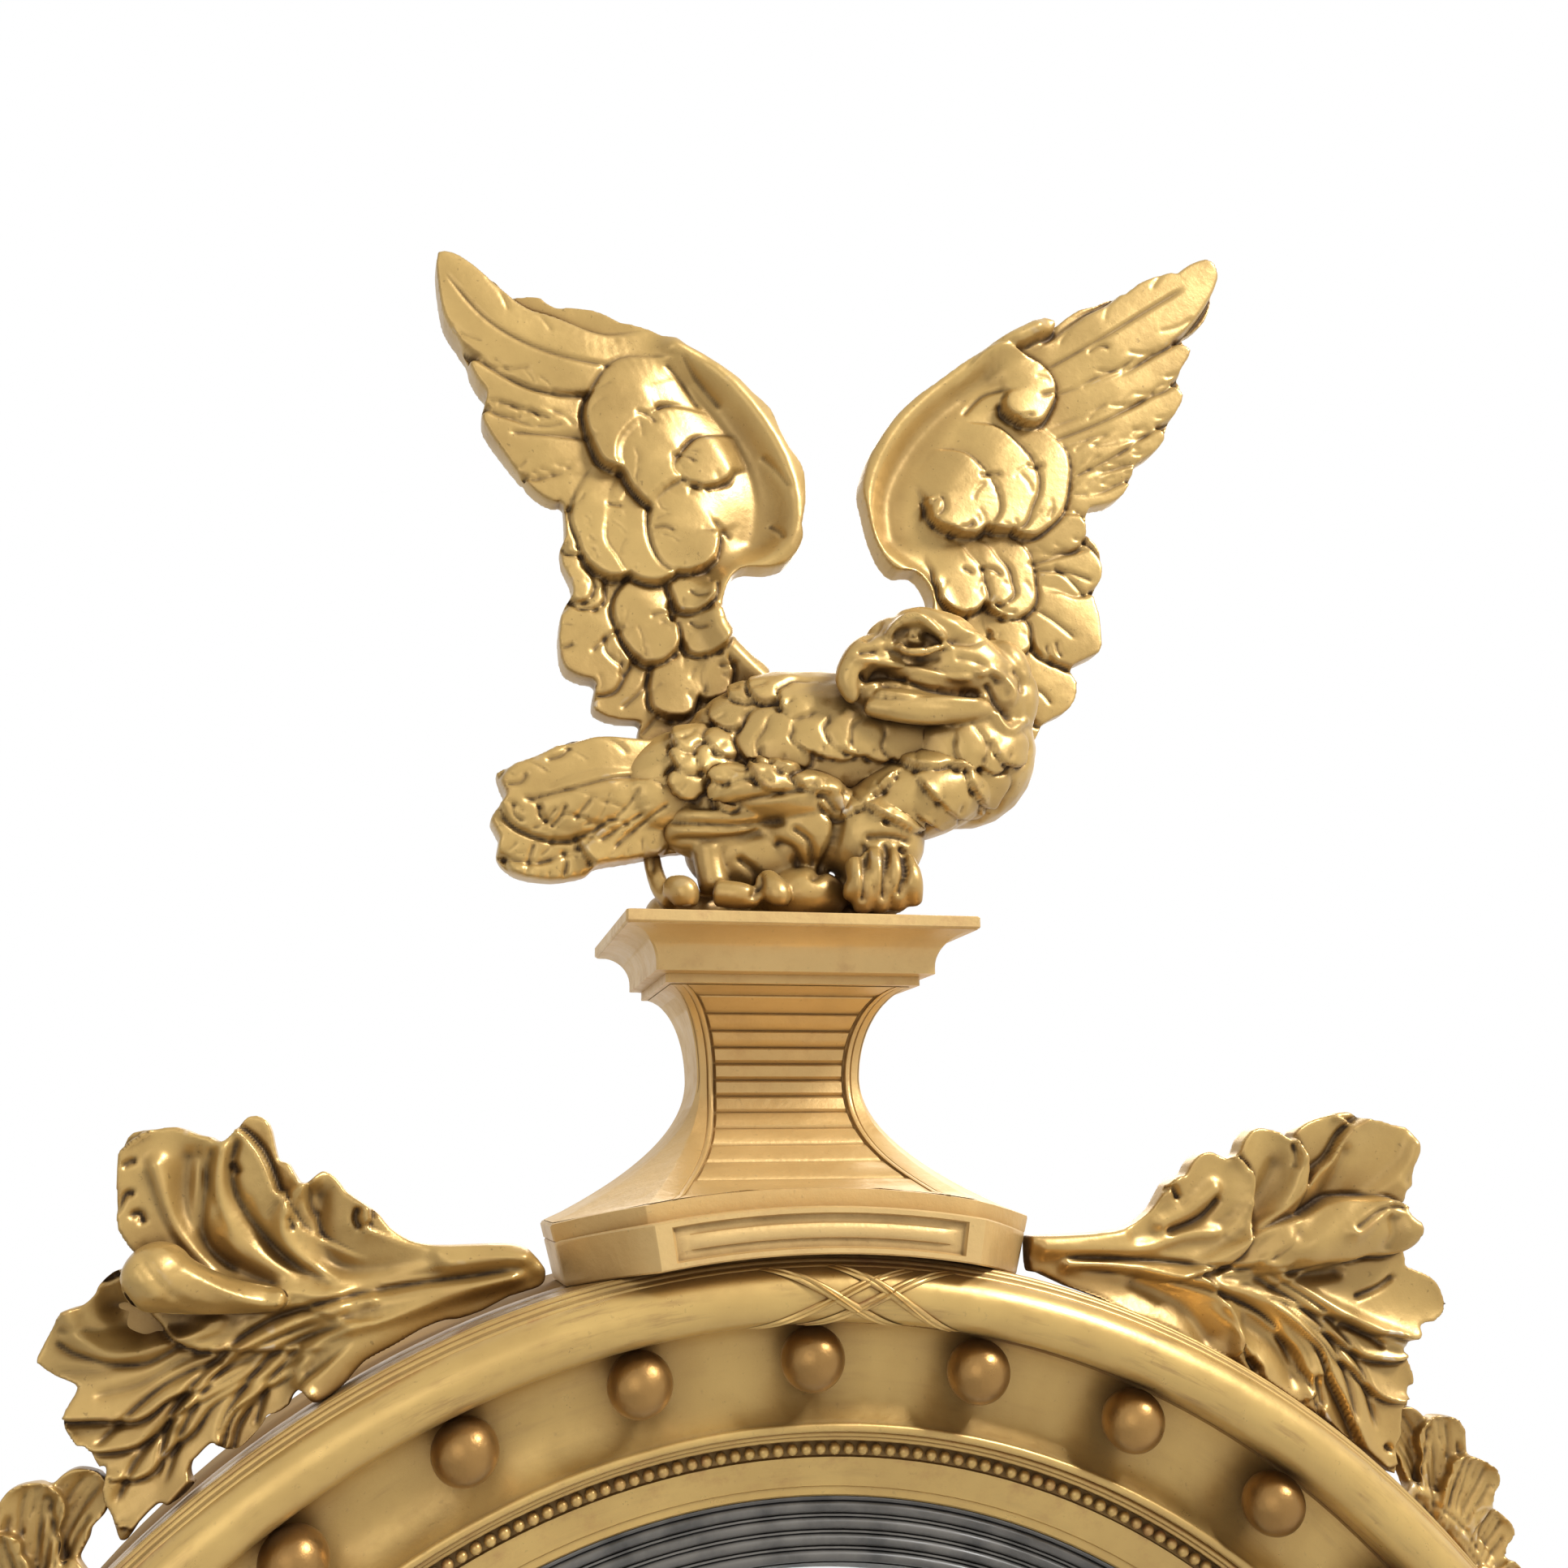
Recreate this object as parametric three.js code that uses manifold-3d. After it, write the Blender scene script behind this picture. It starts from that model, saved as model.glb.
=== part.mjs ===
// A carved and gilded convex wall mirror with an eagle crest, in millimetres, +Z up.
// The origin is the centre of the round frame on the wall plane, and the front faces -Y.
// A depth is a distance in front of the wall.
import * as THREE from "three";
import { mergeVertices } from "three/addons/utils/BufferGeometryUtils.js";
import Module from "manifold-3d";

const wasm = await Module();
wasm.setup();

// ---------- Driving dimensions ----------

const CLEARANCE = 0.3; // between pieces that seat on each other
const RING_SEGMENTS = 48; // facets round every turned ring
const FACET_TOLERANCE = 0.6; // carved shapes may be simplified by this much

// Round frame, from the outside in.
const FRAME_RADIUS = 367;
const RIM_DEPTH = 80;
const RIM_WALL = 50;
const RIM_FLANGE = 20;
const TORUS_RADIUS = 12; // section radius of the outer half-round
const TORUS_MARGIN = 2; // fillet outside the half-round
const TORUS_FILLET = 8;
const HOLLOW_RADIUS = 26; // section radius of the hollow
const HOLLOW_OUTER_REACH = 19; // hollow's centre to its outer lip
const HOLLOW_INNER_REACH = 20;
const LIP_HEIGHT = 32; // inner lip of the hollow before the rear rim
const LIP_WIDTH = 1;
const BALL_RADIUS = 12.7;
const BALL_COUNT = 30;
const BALL_LEAN = 62; // degrees out of the frame's plane, seen from the hollow's centre
const BALL_CLEARANCE = 0.5;
const SLIP_WIDTH = 27; // gilt slip inside the hollow
const SIGHT_HEIGHT = 16; // inner edge of the gilt slip before the rear rim
const BAND_RISE = 8; // rise of the gilt band up to the pearls
const PEARL_RADIUS = 2.3;
const PEARL_INSET = 8; // pearls inside the hollow's lip
const REED_COUNT = 4;
const REED_WIDTH = 6.2;
const REED_HEIGHT = 2.4;
const PLATE_MARGIN = 19; // width of the slip that covers the glass edge
const PLATE_THICKNESS = 3;
const PLATE_BULGE = 38;
const PLATE_SHELF = 10; // width of the flange behind the glass edge
const BOARD_THICKNESS = 9;
const BOARD_LEDGE = 8; // width of the rebate that the backboard lies in

// Pedestal.
const PLINTH_STEP_RADIUS = 18; // height of the lower tier
const PLINTH_HEIGHT = 25;
const PLINTH_PROJECTION = 4; // in front of the half-round
const PLINTH_STEP = 14;
const PLINTH_SIDE_FRONT = 92;
const PLINTH_SIDE_BACK = 40;
const PLINTH_BACK = 8;
const PLINTH_FRONT_ANGLE = 9.9; // degrees from the top of the ring
const PLINTH_SIDE_ANGLE = 15;
const SHAFT_HEIGHT = 84;
const SHAFT_MARGIN = 1;
const WAIST_DROP = 38; // neck to waist
const WAIST_HALF_WIDTH = 36;
const WAIST_FRONT = 62;
const WAIST_BACK = 26;
const NECK_HEIGHT = 4;
const FILLET_HEIGHT = 3;
const CAVETTO_HEIGHT = 14.7;
const SLAB_THICKNESS = 5.3;
const SLAB_HALF_WIDTH = 75.5;
const SLAB_DEPTH = 120;
const SLAB_LIP = 1;
const NECK_INSET = { side: 20, front: 25, back: 17 }; // inside the slab's edges
const FILLET_INSET = { side: 15, front: 18, back: 13 };
const PANEL_REEDS = 11;
const PANEL_GROOVE = 2;
const PANEL_MARGIN = 14;

// Hardware on the back.
const HANGER_PLATE_WIDTH = 58;
const HANGER_PLATE_HEIGHT = 18;
const HANGER_PLATE_THICKNESS = 1.6;
const HANGER_PLATE_RISE = 5; // middle of the plate above the ring's axis
const HANGER_RING_RADIUS = 11;
const HANGER_RING_DROP = 4; // straight sides of the ring, above its half-circle
const HANGER_WIRE_RADIUS = 1.8;
const HANGER_BARREL_RADIUS = 3.6;
const HANGER_BARREL_LENGTH = 13;
const HANGER_AXIS_INSET = 20.5; // below the top of the frame
const HANGER_AXIS_DEPTH = 4.4;
const MORTISE_MARGIN = 1;
const RUNNING_CLEARANCE = 0.4;
const SCREW_HEAD_RADIUS = 4;
const SCREW_HEAD_HEIGHT = 1.4;
const SCREW_SHANK_RADIUS = 1.9;
const SCREW_LENGTH = 16;
const BOARD_SCREW_COUNT = 4;
const BOARD_SCREW_INSET = 5;

// Carving.
const WING_SETBACK = 8; // wings behind the bird's middle plane
const WING_CORE_THICKNESS = 14;
const FEATHER_THICKNESS = 6;
const SCALE_THICKNESS = 9;
const TAIL_FORWARD = 6;
const TAIL_THICKNESS = 10;
const LEAF_THICKNESS = 18;
const LEAF_HEIGHT = 16; // middle of the leaves before the rear rim
const CREST_LEAF_ANGLE = 30; // degrees from the vertical
const SIDE_LEAF_ANGLE = 52;
const SEAT_HEIGHT = 10; // each leaf's foot outside the frame's edge
const SEAT_THICKNESS = 14;
const DROP_LENGTH = 74;
const DROP_RADIUS = 20;

// ---------- Sizes that follow ----------

const torusCentreRadius = FRAME_RADIUS - TORUS_MARGIN - TORUS_RADIUS;
const torusInnerRadius = torusCentreRadius - TORUS_RADIUS;
const hollowOuterLip = torusInnerRadius - LIP_WIDTH;
const hollowCentreRadius = hollowOuterLip - HOLLOW_OUTER_REACH;
const hollowInnerLip = hollowCentreRadius - HOLLOW_INNER_REACH;
const hollowInnerRadius = hollowInnerLip - LIP_WIDTH;
const sightRadius = hollowInnerRadius - SLIP_WIDTH;
const pearlRingRadius = hollowInnerRadius - PEARL_INSET;
const plateRadius = sightRadius - PLATE_MARGIN;
const flangeInnerRadius = plateRadius - PLATE_SHELF;
const wallInnerRadius = FRAME_RADIUS - RIM_WALL;
const boardRadius = wallInnerRadius + BOARD_LEDGE;

const mouldingBack = RIM_DEPTH + CLEARANCE;
const lipDepth = RIM_DEPTH + LIP_HEIGHT;
const hollowCentreDepth = lipDepth + Math.sqrt(HOLLOW_RADIUS ** 2 - HOLLOW_INNER_REACH ** 2);
const torusSeat = hollowDepthAt(hollowOuterLip) + CLEARANCE;
const torusCentreDepth = torusSeat + TORUS_RADIUS;
const torusFront = torusCentreDepth + TORUS_RADIUS;
const sightDepth = RIM_DEPTH + SIGHT_HEIGHT;
const pearlSeat = sightDepth + BAND_RISE;
const plateFront = mouldingBack + PLATE_THICKNESS;
const leafDepth = RIM_DEPTH + LEAF_HEIGHT;

const plinthFoot = FRAME_RADIUS + CLEARANCE;
const plinthTop = plinthFoot + PLINTH_HEIGHT;
const plinthFront = torusFront + PLINTH_PROJECTION;
const shaftFoot = plinthTop + CLEARANCE;
const neckBottom = plinthTop + SHAFT_HEIGHT;
const waistHeight = neckBottom - WAIST_DROP;
const neckTop = neckBottom + NECK_HEIGHT;
const corniceBottom = neckTop + FILLET_HEIGHT;
const slabBottom = corniceBottom + CAVETTO_HEIGHT;
const perch = slabBottom + SLAB_THICKNESS + CLEARANCE;
const eagleDepth = SLAB_DEPTH / 2;
const wingDepth = eagleDepth - WING_SETBACK;
const tailDepth = eagleDepth + TAIL_FORWARD;
const frontAngle = THREE.MathUtils.degToRad(PLINTH_FRONT_ANGLE);
const sideAngle = THREE.MathUtils.degToRad(PLINTH_SIDE_ANGLE);

const hangerAxisHeight = FRAME_RADIUS - HANGER_AXIS_INSET;
const hangerPlateCentre = hangerAxisHeight + HANGER_PLATE_RISE;
const hangerPlateFace = HANGER_AXIS_DEPTH + HANGER_BARREL_RADIUS - HANGER_PLATE_THICKNESS / 2;
const hangerPlateBack = hangerPlateFace + HANGER_PLATE_THICKNESS;

// Depth of the hollow's surface at a radius of the frame.
function hollowDepthAt(radius) {
  const across = radius - hollowCentreRadius;
  return hollowCentreDepth - Math.sqrt(HOLLOW_RADIUS ** 2 - across ** 2);
}

// How far the back of the convex glass stands before its edge at a radius.
function plateRise(radius) {
  const sphere = (plateRadius ** 2 + PLATE_BULGE ** 2) / (2 * PLATE_BULGE);
  return Math.sqrt(sphere ** 2 - radius ** 2) - (sphere - PLATE_BULGE);
}

// ---------- Solids ----------

// A closed geometry as a solid, with its faces turned outwards.
function toSolid(geometry) {
  const bare = geometry.clone();
  bare.deleteAttribute("normal");
  bare.deleteAttribute("uv");
  const merged = mergeVertices(bare, 1e-4);
  const mesh = {
    numProp: 3,
    vertProperties: new Float32Array(merged.attributes.position.array),
    triVerts: new Uint32Array(merged.index.array),
  };
  const solid = new wasm.Manifold(new wasm.Mesh(mesh));
  if (solid.volume() > 0) return solid;
  mesh.triVerts.reverse();
  return new wasm.Manifold(new wasm.Mesh(mesh));
}

function toGeometry(solid) {
  const mesh = solid.getMesh();
  const geometry = new THREE.BufferGeometry();
  geometry.setAttribute("position", new THREE.BufferAttribute(mesh.vertProperties, 3));
  geometry.setIndex(new THREE.BufferAttribute(mesh.triVerts, 1));
  geometry.computeVertexNormals();
  return geometry;
}

function join(solids) {
  return solids.reduce((whole, solid) => whole.add(solid));
}

function cutFrom(solid, tools) {
  return tools.reduce((rest, tool) => rest.subtract(tool), solid);
}

// Joins carved shapes and drops facets too small to see.
function carve(solids) {
  return join(solids).simplify(FACET_TOLERANCE);
}

// A ring or disc turned about the Y axis from points of radius and depth.
function turned(points) {
  const outline = points.map(([radius, depth]) => new THREE.Vector2(radius, -depth));
  if (points[0][0] > 0) outline.push(outline[0].clone());
  return toSolid(new THREE.LatheGeometry(outline, RING_SEGMENTS));
}

// A solid through rings of points, each ring convex and with the same number of points.
function loft(rings) {
  const count = rings[0].length;
  const positions = rings.flat().flatMap((point) => point.toArray());
  const index = [];
  for (let level = 0; level < rings.length - 1; level += 1) {
    for (let i = 0; i < count; i += 1) {
      const a = level * count + i;
      const b = level * count + ((i + 1) % count);
      index.push(a, b, b + count, a, b + count, a + count);
    }
  }
  const last = (rings.length - 1) * count;
  for (let i = 1; i < count - 1; i += 1) {
    index.push(0, i + 1, i, last, last + i, last + i + 1);
  }
  const geometry = new THREE.BufferGeometry();
  geometry.setAttribute("position", new THREE.Float32BufferAttribute(positions, 3));
  geometry.setIndex(index);
  return toSolid(geometry);
}

// A block from its middle (x, depth, z) and its size along the same three axes.
function block([x, depth, z], [width, thickness, height]) {
  const geometry = new THREE.BoxGeometry(width, thickness, height);
  return toSolid(geometry.translate(x, -depth, z));
}

// A rod between two points, each as x, depth, z.
function rod(radius, start, end, sides = 8) {
  const from = new THREE.Vector3(start[0], -start[1], start[2]);
  const to = new THREE.Vector3(end[0], -end[1], end[2]);
  const along = to.clone().sub(from);
  const geometry = new THREE.CylinderGeometry(radius, radius, along.length(), sides);
  const up = new THREE.Vector3(0, 1, 0);
  const direction = along.clone().normalize();
  geometry.applyQuaternion(new THREE.Quaternion().setFromUnitVectors(up, direction));
  geometry.translate((from.x + to.x) / 2, (from.y + to.y) / 2, (from.z + to.z) / 2);
  return toSolid(geometry);
}

// An egg from its middle (x, depth, z), its half sizes and its tilt in degrees.
function egg([x, depth, z], [a, b, c], tilt = 0, sides = 8) {
  const geometry = new THREE.SphereGeometry(1, sides, Math.ceil(sides * 0.6));
  geometry.scale(a, b, c);
  geometry.rotateY(-THREE.MathUtils.degToRad(tilt));
  return toSolid(geometry.translate(x, -depth, z));
}

// A flat leaf or feather from its root to its tip, both as x and z, widest past the middle.
function blade([x1, z1], [x2, z2], width, depth, thickness, grow = 0) {
  const length = Math.hypot(x2 - x1, z2 - z1) + grow;
  const half = width / 2 + grow;
  const deep = thickness + 2 * grow;
  const shape = new THREE.Shape();
  shape.moveTo(0, -half * 0.5);
  shape.quadraticCurveTo(length * 0.6, -half * 1.35, length - half * 0.5, -half * 0.55);
  shape.quadraticCurveTo(length, 0, length - half * 0.5, half * 0.55);
  shape.quadraticCurveTo(length * 0.6, half * 1.35, 0, half * 0.5);
  const options = { depth: deep, bevelEnabled: false, curveSegments: 2 };
  const geometry = new THREE.ExtrudeGeometry(shape, options);
  geometry.translate(0, 0, -deep / 2);
  geometry.rotateX(Math.PI / 2);
  geometry.rotateY(-Math.atan2(z2 - z1, x2 - x1));
  return toSolid(geometry.translate(x1, -depth, z1));
}

// A rounded rim along a curve through points of x and z.
function rim(points, radius, depth, steps) {
  const corners = points.map(([x, z]) => new THREE.Vector3(x, -depth, z));
  const section = new THREE.Shape();
  section.absellipse(0, 0, radius, radius, 0, Math.PI * 2);
  const extrudePath = new THREE.CatmullRomCurve3(corners);
  return toSolid(new THREE.ExtrudeGeometry(section, { extrudePath, steps, curveSegments: 2 }));
}

// ---------- Materials and pieces ----------

function finish(color, roughness, metalness) {
  return () => new THREE.MeshStandardMaterial({ color, roughness, metalness });
}

const burnishedGold = finish(0xb98a3c, 0.35, 0.8);
const matteGold = finish(0xc39a4e, 0.55, 0.6);
const ebonised = finish(0x1c1816, 0.4, 0);
const silvered = finish(0xc9cdd0, 0.03, 1);
const rawPine = finish(0xa07848, 0.8, 0);
const ochrePaint = finish(0x9a7a3e, 0.8, 0);
const brass = finish(0x9c7a3a, 0.4, 0.9);
const steel = finish(0x5f5a54, 0.5, 0.9);

const mirror = new THREE.Group();

function addPiece(name, solid, material) {
  const piece = new THREE.Mesh(toGeometry(solid), material());
  piece.name = name;
  mirror.add(piece);
}

// ---------- Round frame ----------

function rearRim() {
  const rebate = BOARD_THICKNESS + CLEARANCE;
  const ring = turned([
    [FRAME_RADIUS, 0],
    [boardRadius + CLEARANCE, 0],
    [boardRadius + CLEARANCE, rebate],
    [wallInnerRadius, rebate],
    [wallInnerRadius, RIM_DEPTH - RIM_FLANGE],
    [flangeInnerRadius, RIM_DEPTH - RIM_FLANGE],
    [flangeInnerRadius, RIM_DEPTH],
    [FRAME_RADIUS, RIM_DEPTH],
  ]);
  return cutFrom(ring, [
    hangerMortise(),
    ...boardScrewPlaces().map((place) => screwHole(place, 0)),
    ...hangerScrewPlaces().map((place) => screwHole(place, hangerPlateFace)),
  ]);
}

function hollowMoulding() {
  const steps = 6;
  const hollow = [];
  const innerAngle = Math.PI - Math.acos(HOLLOW_INNER_REACH / HOLLOW_RADIUS);
  const outerAngle = Math.acos(HOLLOW_OUTER_REACH / HOLLOW_RADIUS);
  for (let i = 0; i <= steps; i += 1) {
    const angle = THREE.MathUtils.lerp(innerAngle, outerAngle, i / steps);
    hollow.push([
      hollowCentreRadius + HOLLOW_RADIUS * Math.cos(angle),
      hollowCentreDepth - HOLLOW_RADIUS * Math.sin(angle),
    ]);
  }
  return turned([
    [FRAME_RADIUS, mouldingBack],
    [hollowInnerRadius, mouldingBack],
    [hollowInnerRadius, lipDepth],
    ...hollow,
    [FRAME_RADIUS, torusSeat - CLEARANCE],
  ]);
}

function outerTorus() {
  const steps = 7;
  const arc = [];
  for (let i = 0; i <= steps; i += 1) {
    const angle = Math.PI * (1 - i / steps);
    arc.push([
      torusCentreRadius + TORUS_RADIUS * Math.cos(angle),
      torusCentreDepth + TORUS_RADIUS * Math.sin(angle),
    ]);
  }
  return turned([
    [FRAME_RADIUS, torusSeat],
    [torusInnerRadius, torusSeat],
    ...arc,
    [torusCentreRadius + TORUS_RADIUS, torusSeat + TORUS_FILLET],
    [FRAME_RADIUS, torusSeat + TORUS_FILLET],
  ]);
}

// The gilt slip: a flat band, a channel for the pearls and a lip beside the hollow.
function beadedSlip() {
  const outer = hollowInnerRadius - CLEARANCE;
  const channelInner = pearlRingRadius - PEARL_RADIUS - CLEARANCE;
  const channelOuter = pearlRingRadius + PEARL_RADIUS + CLEARANCE;
  return turned([
    [outer, mouldingBack],
    [plateRadius + CLEARANCE, mouldingBack],
    [plateRadius + CLEARANCE, plateFront],
    [sightRadius, plateFront],
    [sightRadius, sightDepth],
    [channelInner, pearlSeat],
    [channelOuter, pearlSeat],
    [channelOuter, pearlSeat + PEARL_RADIUS],
    [outer - 2 * LIP_WIDTH, lipDepth],
    [outer, lipDepth],
  ]);
}

function pearlString() {
  const back = pearlSeat + CLEARANCE;
  return turned([
    [pearlRingRadius + PEARL_RADIUS, back],
    [pearlRingRadius - PEARL_RADIUS, back],
    [pearlRingRadius - PEARL_RADIUS, back + PEARL_RADIUS],
    [pearlRingRadius, back + 2 * PEARL_RADIUS],
    [pearlRingRadius + PEARL_RADIUS, back + PEARL_RADIUS],
  ]);
}

// The ebonised slip: reeds that step in from the gilt edge and hold the glass.
function reededSlip() {
  const outer = sightRadius - CLEARANCE;
  const inner = outer - REED_COUNT * REED_WIDTH;
  const back = plateFront + CLEARANCE;
  const front = sightDepth - REED_HEIGHT;
  const reeds = [];
  for (let i = 0; i < REED_COUNT; i += 1) {
    const start = inner + i * REED_WIDTH;
    reeds.push([start, front], [start + REED_WIDTH / 2, sightDepth]);
  }
  return turned([
    [outer, back],
    [plateRadius, back],
    [inner, back + plateRise(inner)],
    ...reeds,
    [outer, front],
  ]);
}

function mirrorPlate() {
  const steps = 5;
  const front = [];
  const back = [];
  for (let i = 0; i <= steps; i += 1) {
    const radius = (plateRadius * i) / steps;
    const depth = mouldingBack + plateRise(radius);
    back.push([radius, depth]);
    front.unshift([radius, depth + PLATE_THICKNESS]);
  }
  return turned([...back, ...front]);
}

function backboard() {
  const board = turned([
    [0, 0],
    [boardRadius, 0],
    [boardRadius, BOARD_THICKNESS],
    [0, BOARD_THICKNESS],
  ]);
  return cutFrom(board, boardScrewPlaces().map((place) => screwHole(place, 0)));
}

// The balls lie in the hollow, evenly round the ring from its top.
function addBalls() {
  const lean = THREE.MathUtils.degToRad(BALL_LEAN);
  const reach = HOLLOW_RADIUS - BALL_RADIUS - BALL_CLEARANCE;
  const radius = hollowCentreRadius + reach * Math.cos(lean);
  const depth = hollowCentreDepth - reach * Math.sin(lean);
  for (let i = 0; i < BALL_COUNT; i += 1) {
    const angle = (i * 2 * Math.PI) / BALL_COUNT;
    const ball = new THREE.IcosahedronGeometry(BALL_RADIUS, 1);
    ball.rotateY(angle);
    ball.translate(radius * Math.sin(angle), -depth, radius * Math.cos(angle));
    addPiece("ball_" + String(i + 1).padStart(2, "0"), toSolid(ball), burnishedGold);
  }
}

// ---------- Screws and hanger ----------

function boardScrewPlaces() {
  const radius = boardRadius - BOARD_SCREW_INSET;
  return Array.from({ length: BOARD_SCREW_COUNT }, (_, i) => {
    const angle = Math.PI / 4 + (i * 2 * Math.PI) / BOARD_SCREW_COUNT;
    return [radius * Math.sin(angle), radius * Math.cos(angle)];
  });
}

function hangerScrewPlaces() {
  const x = HANGER_PLATE_WIDTH / 2 - SCREW_HEAD_RADIUS - 2;
  return [-x, x].map((side) => [side, hangerPlateCentre]);
}

// Room for a screw whose head lies under a face at a given depth.
function screwHole([x, z], face) {
  const headEnd = face + SCREW_HEAD_HEIGHT + CLEARANCE;
  const tip = face + SCREW_LENGTH + CLEARANCE;
  const sink = rod(SCREW_HEAD_RADIUS + CLEARANCE, [x, -1, z], [x, headEnd, z]);
  return sink.add(rod(SCREW_SHANK_RADIUS + CLEARANCE, [x, -1, z], [x, tip, z]));
}

function screw([x, z], face) {
  const head = rod(SCREW_HEAD_RADIUS, [x, face, z], [x, face + SCREW_HEAD_HEIGHT, z]);
  return head.add(rod(SCREW_SHANK_RADIUS, [x, face + 1, z], [x, face + SCREW_LENGTH, z]));
}

// The recess in the frame's back for the plate and its hanging ring.
function hangerMortise() {
  const depth = hangerPlateBack + CLEARANCE;
  const reach = HANGER_RING_RADIUS + HANGER_WIRE_RADIUS + 2 * MORTISE_MARGIN;
  const top = hangerPlateCentre + HANGER_PLATE_HEIGHT / 2 + MORTISE_MARGIN;
  const bottom = hangerAxisHeight - HANGER_RING_DROP - reach;
  const plateRoom = block(
    [0, (depth - 1) / 2, hangerPlateCentre],
    [HANGER_PLATE_WIDTH + 2 * MORTISE_MARGIN, depth + 1, 2 * (top - hangerPlateCentre)],
  );
  return plateRoom.add(block([0, (depth - 1) / 2, (top + bottom) / 2], [2 * reach, depth + 1, top - bottom]));
}

function hangerPlate() {
  const half = HANGER_BARREL_LENGTH / 2;
  const plate = block(
    [0, (hangerPlateFace + hangerPlateBack) / 2, hangerPlateCentre],
    [HANGER_PLATE_WIDTH, HANGER_PLATE_THICKNESS, HANGER_PLATE_HEIGHT],
  );
  const axis = [HANGER_AXIS_DEPTH, hangerAxisHeight];
  const barrel = rod(HANGER_BARREL_RADIUS, [-half, ...axis], [half, ...axis], 12);
  const boreRadius = HANGER_WIRE_RADIUS + RUNNING_CLEARANCE;
  const bore = rod(boreRadius, [-half - 1, ...axis], [half + 1, ...axis], 12);
  const holes = hangerScrewPlaces().map(([x, z]) => (
    rod(SCREW_SHANK_RADIUS + CLEARANCE, [x, 0, z], [x, 2 * hangerPlateBack, z])
  ));
  return cutFrom(plate.add(barrel), [bore, ...holes]);
}

// The D-shaped ring: a bent wire whose ends meet a straight bar in the barrel.
function hangerRing() {
  const steps = 8;
  const sides = 6;
  const section = (x, drop, lean) => Array.from({ length: sides }, (_, i) => {
    const angle = (i * 2 * Math.PI) / sides;
    const out = HANGER_WIRE_RADIUS * Math.cos(angle);
    const y = HANGER_WIRE_RADIUS * Math.sin(angle) - HANGER_AXIS_DEPTH;
    const z = hangerAxisHeight - drop - out * Math.sin(lean);
    return new THREE.Vector3(x + out * Math.cos(lean), y, z);
  });
  const rings = [section(HANGER_RING_RADIUS, 0, 0)];
  for (let i = 0; i <= steps; i += 1) {
    const angle = (i * Math.PI) / steps;
    const x = HANGER_RING_RADIUS * Math.cos(angle);
    const drop = HANGER_RING_DROP + HANGER_RING_RADIUS * Math.sin(angle);
    rings.push(section(x, drop, angle));
  }
  rings.push(section(-HANGER_RING_RADIUS, 0, Math.PI));
  const end = HANGER_RING_RADIUS + HANGER_WIRE_RADIUS;
  const axis = [HANGER_AXIS_DEPTH, hangerAxisHeight];
  return loft(rings).add(rod(HANGER_WIRE_RADIUS, [-end, ...axis], [end, ...axis]));
}

// ---------- Pedestal ----------

// A block cut from a ring by radial planes, with canted corners, to sit on the round frame.
function plinthTier(inner, outer, front) {
  const ring = turned([
    [outer, PLINTH_BACK],
    [inner, PLINTH_BACK],
    [inner, front],
    [outer, front],
  ]);
  const corners = [
    [-frontAngle, front + 1],
    [frontAngle, front + 1],
    [sideAngle, PLINTH_SIDE_FRONT],
    [sideAngle, PLINTH_SIDE_BACK],
    [frontAngle, PLINTH_BACK - 1],
    [-frontAngle, PLINTH_BACK - 1],
    [-sideAngle, PLINTH_SIDE_BACK],
    [-sideAngle, PLINTH_SIDE_FRONT],
  ];
  const wedge = [inner * 0.9, outer * 1.1].map((z) => (
    corners.map(([angle, depth]) => new THREE.Vector3(z * Math.tan(angle), -depth, z))
  ));
  return ring.intersect(loft(wedge));
}

function plinth() {
  const step = plinthFoot + PLINTH_STEP_RADIUS;
  const lower = plinthTier(plinthFoot, step, plinthFront);
  return lower.add(plinthTier(step - 1, plinthTop, plinthFront - PLINTH_STEP));
}

// The shaft's plan at a height. Above the waist it curves out as a quarter ellipse.
function shaftAt(z) {
  const { lerp } = THREE.MathUtils;
  const frontInset = SLAB_DEPTH - NECK_INSET.front;
  const neckHalf = SLAB_HALF_WIDTH - NECK_INSET.side;
  if (z > waistHeight) {
    const share = (z - waistHeight) / WAIST_DROP;
    const ease = 1 - Math.sqrt(Math.max(0, 1 - share ** 2));
    const half = lerp(WAIST_HALF_WIDTH, neckHalf - SHAFT_MARGIN, ease);
    const front = lerp(WAIST_FRONT, frontInset - SHAFT_MARGIN, ease);
    const back = lerp(WAIST_BACK, NECK_INSET.back + SHAFT_MARGIN, ease);
    return { half, side: half + 0.5, front, sideFront: front - 0.5, back };
  }
  // Below the waist each corner runs out to its own corner of the plinth.
  const flare = (angle) => {
    const share = (waistHeight - z) / (waistHeight - shaftFoot * Math.cos(angle));
    return Math.min(1, share) ** 2;
  };
  const toFront = flare(frontAngle);
  const toSide = flare(sideAngle);
  const footHalf = shaftFoot * Math.sin(frontAngle) - SHAFT_MARGIN;
  const footSide = shaftFoot * Math.sin(sideAngle) - 2 * SHAFT_MARGIN;
  return {
    half: lerp(WAIST_HALF_WIDTH, footHalf, toFront),
    side: lerp(WAIST_HALF_WIDTH, footSide, toSide) + 0.5,
    front: lerp(WAIST_FRONT, plinthFront - PLINTH_STEP - SHAFT_MARGIN, toFront),
    sideFront: lerp(WAIST_FRONT, PLINTH_SIDE_FRONT - SHAFT_MARGIN, toSide) - 0.5,
    back: lerp(WAIST_BACK, PLINTH_SIDE_BACK, toSide),
  };
}

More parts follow.
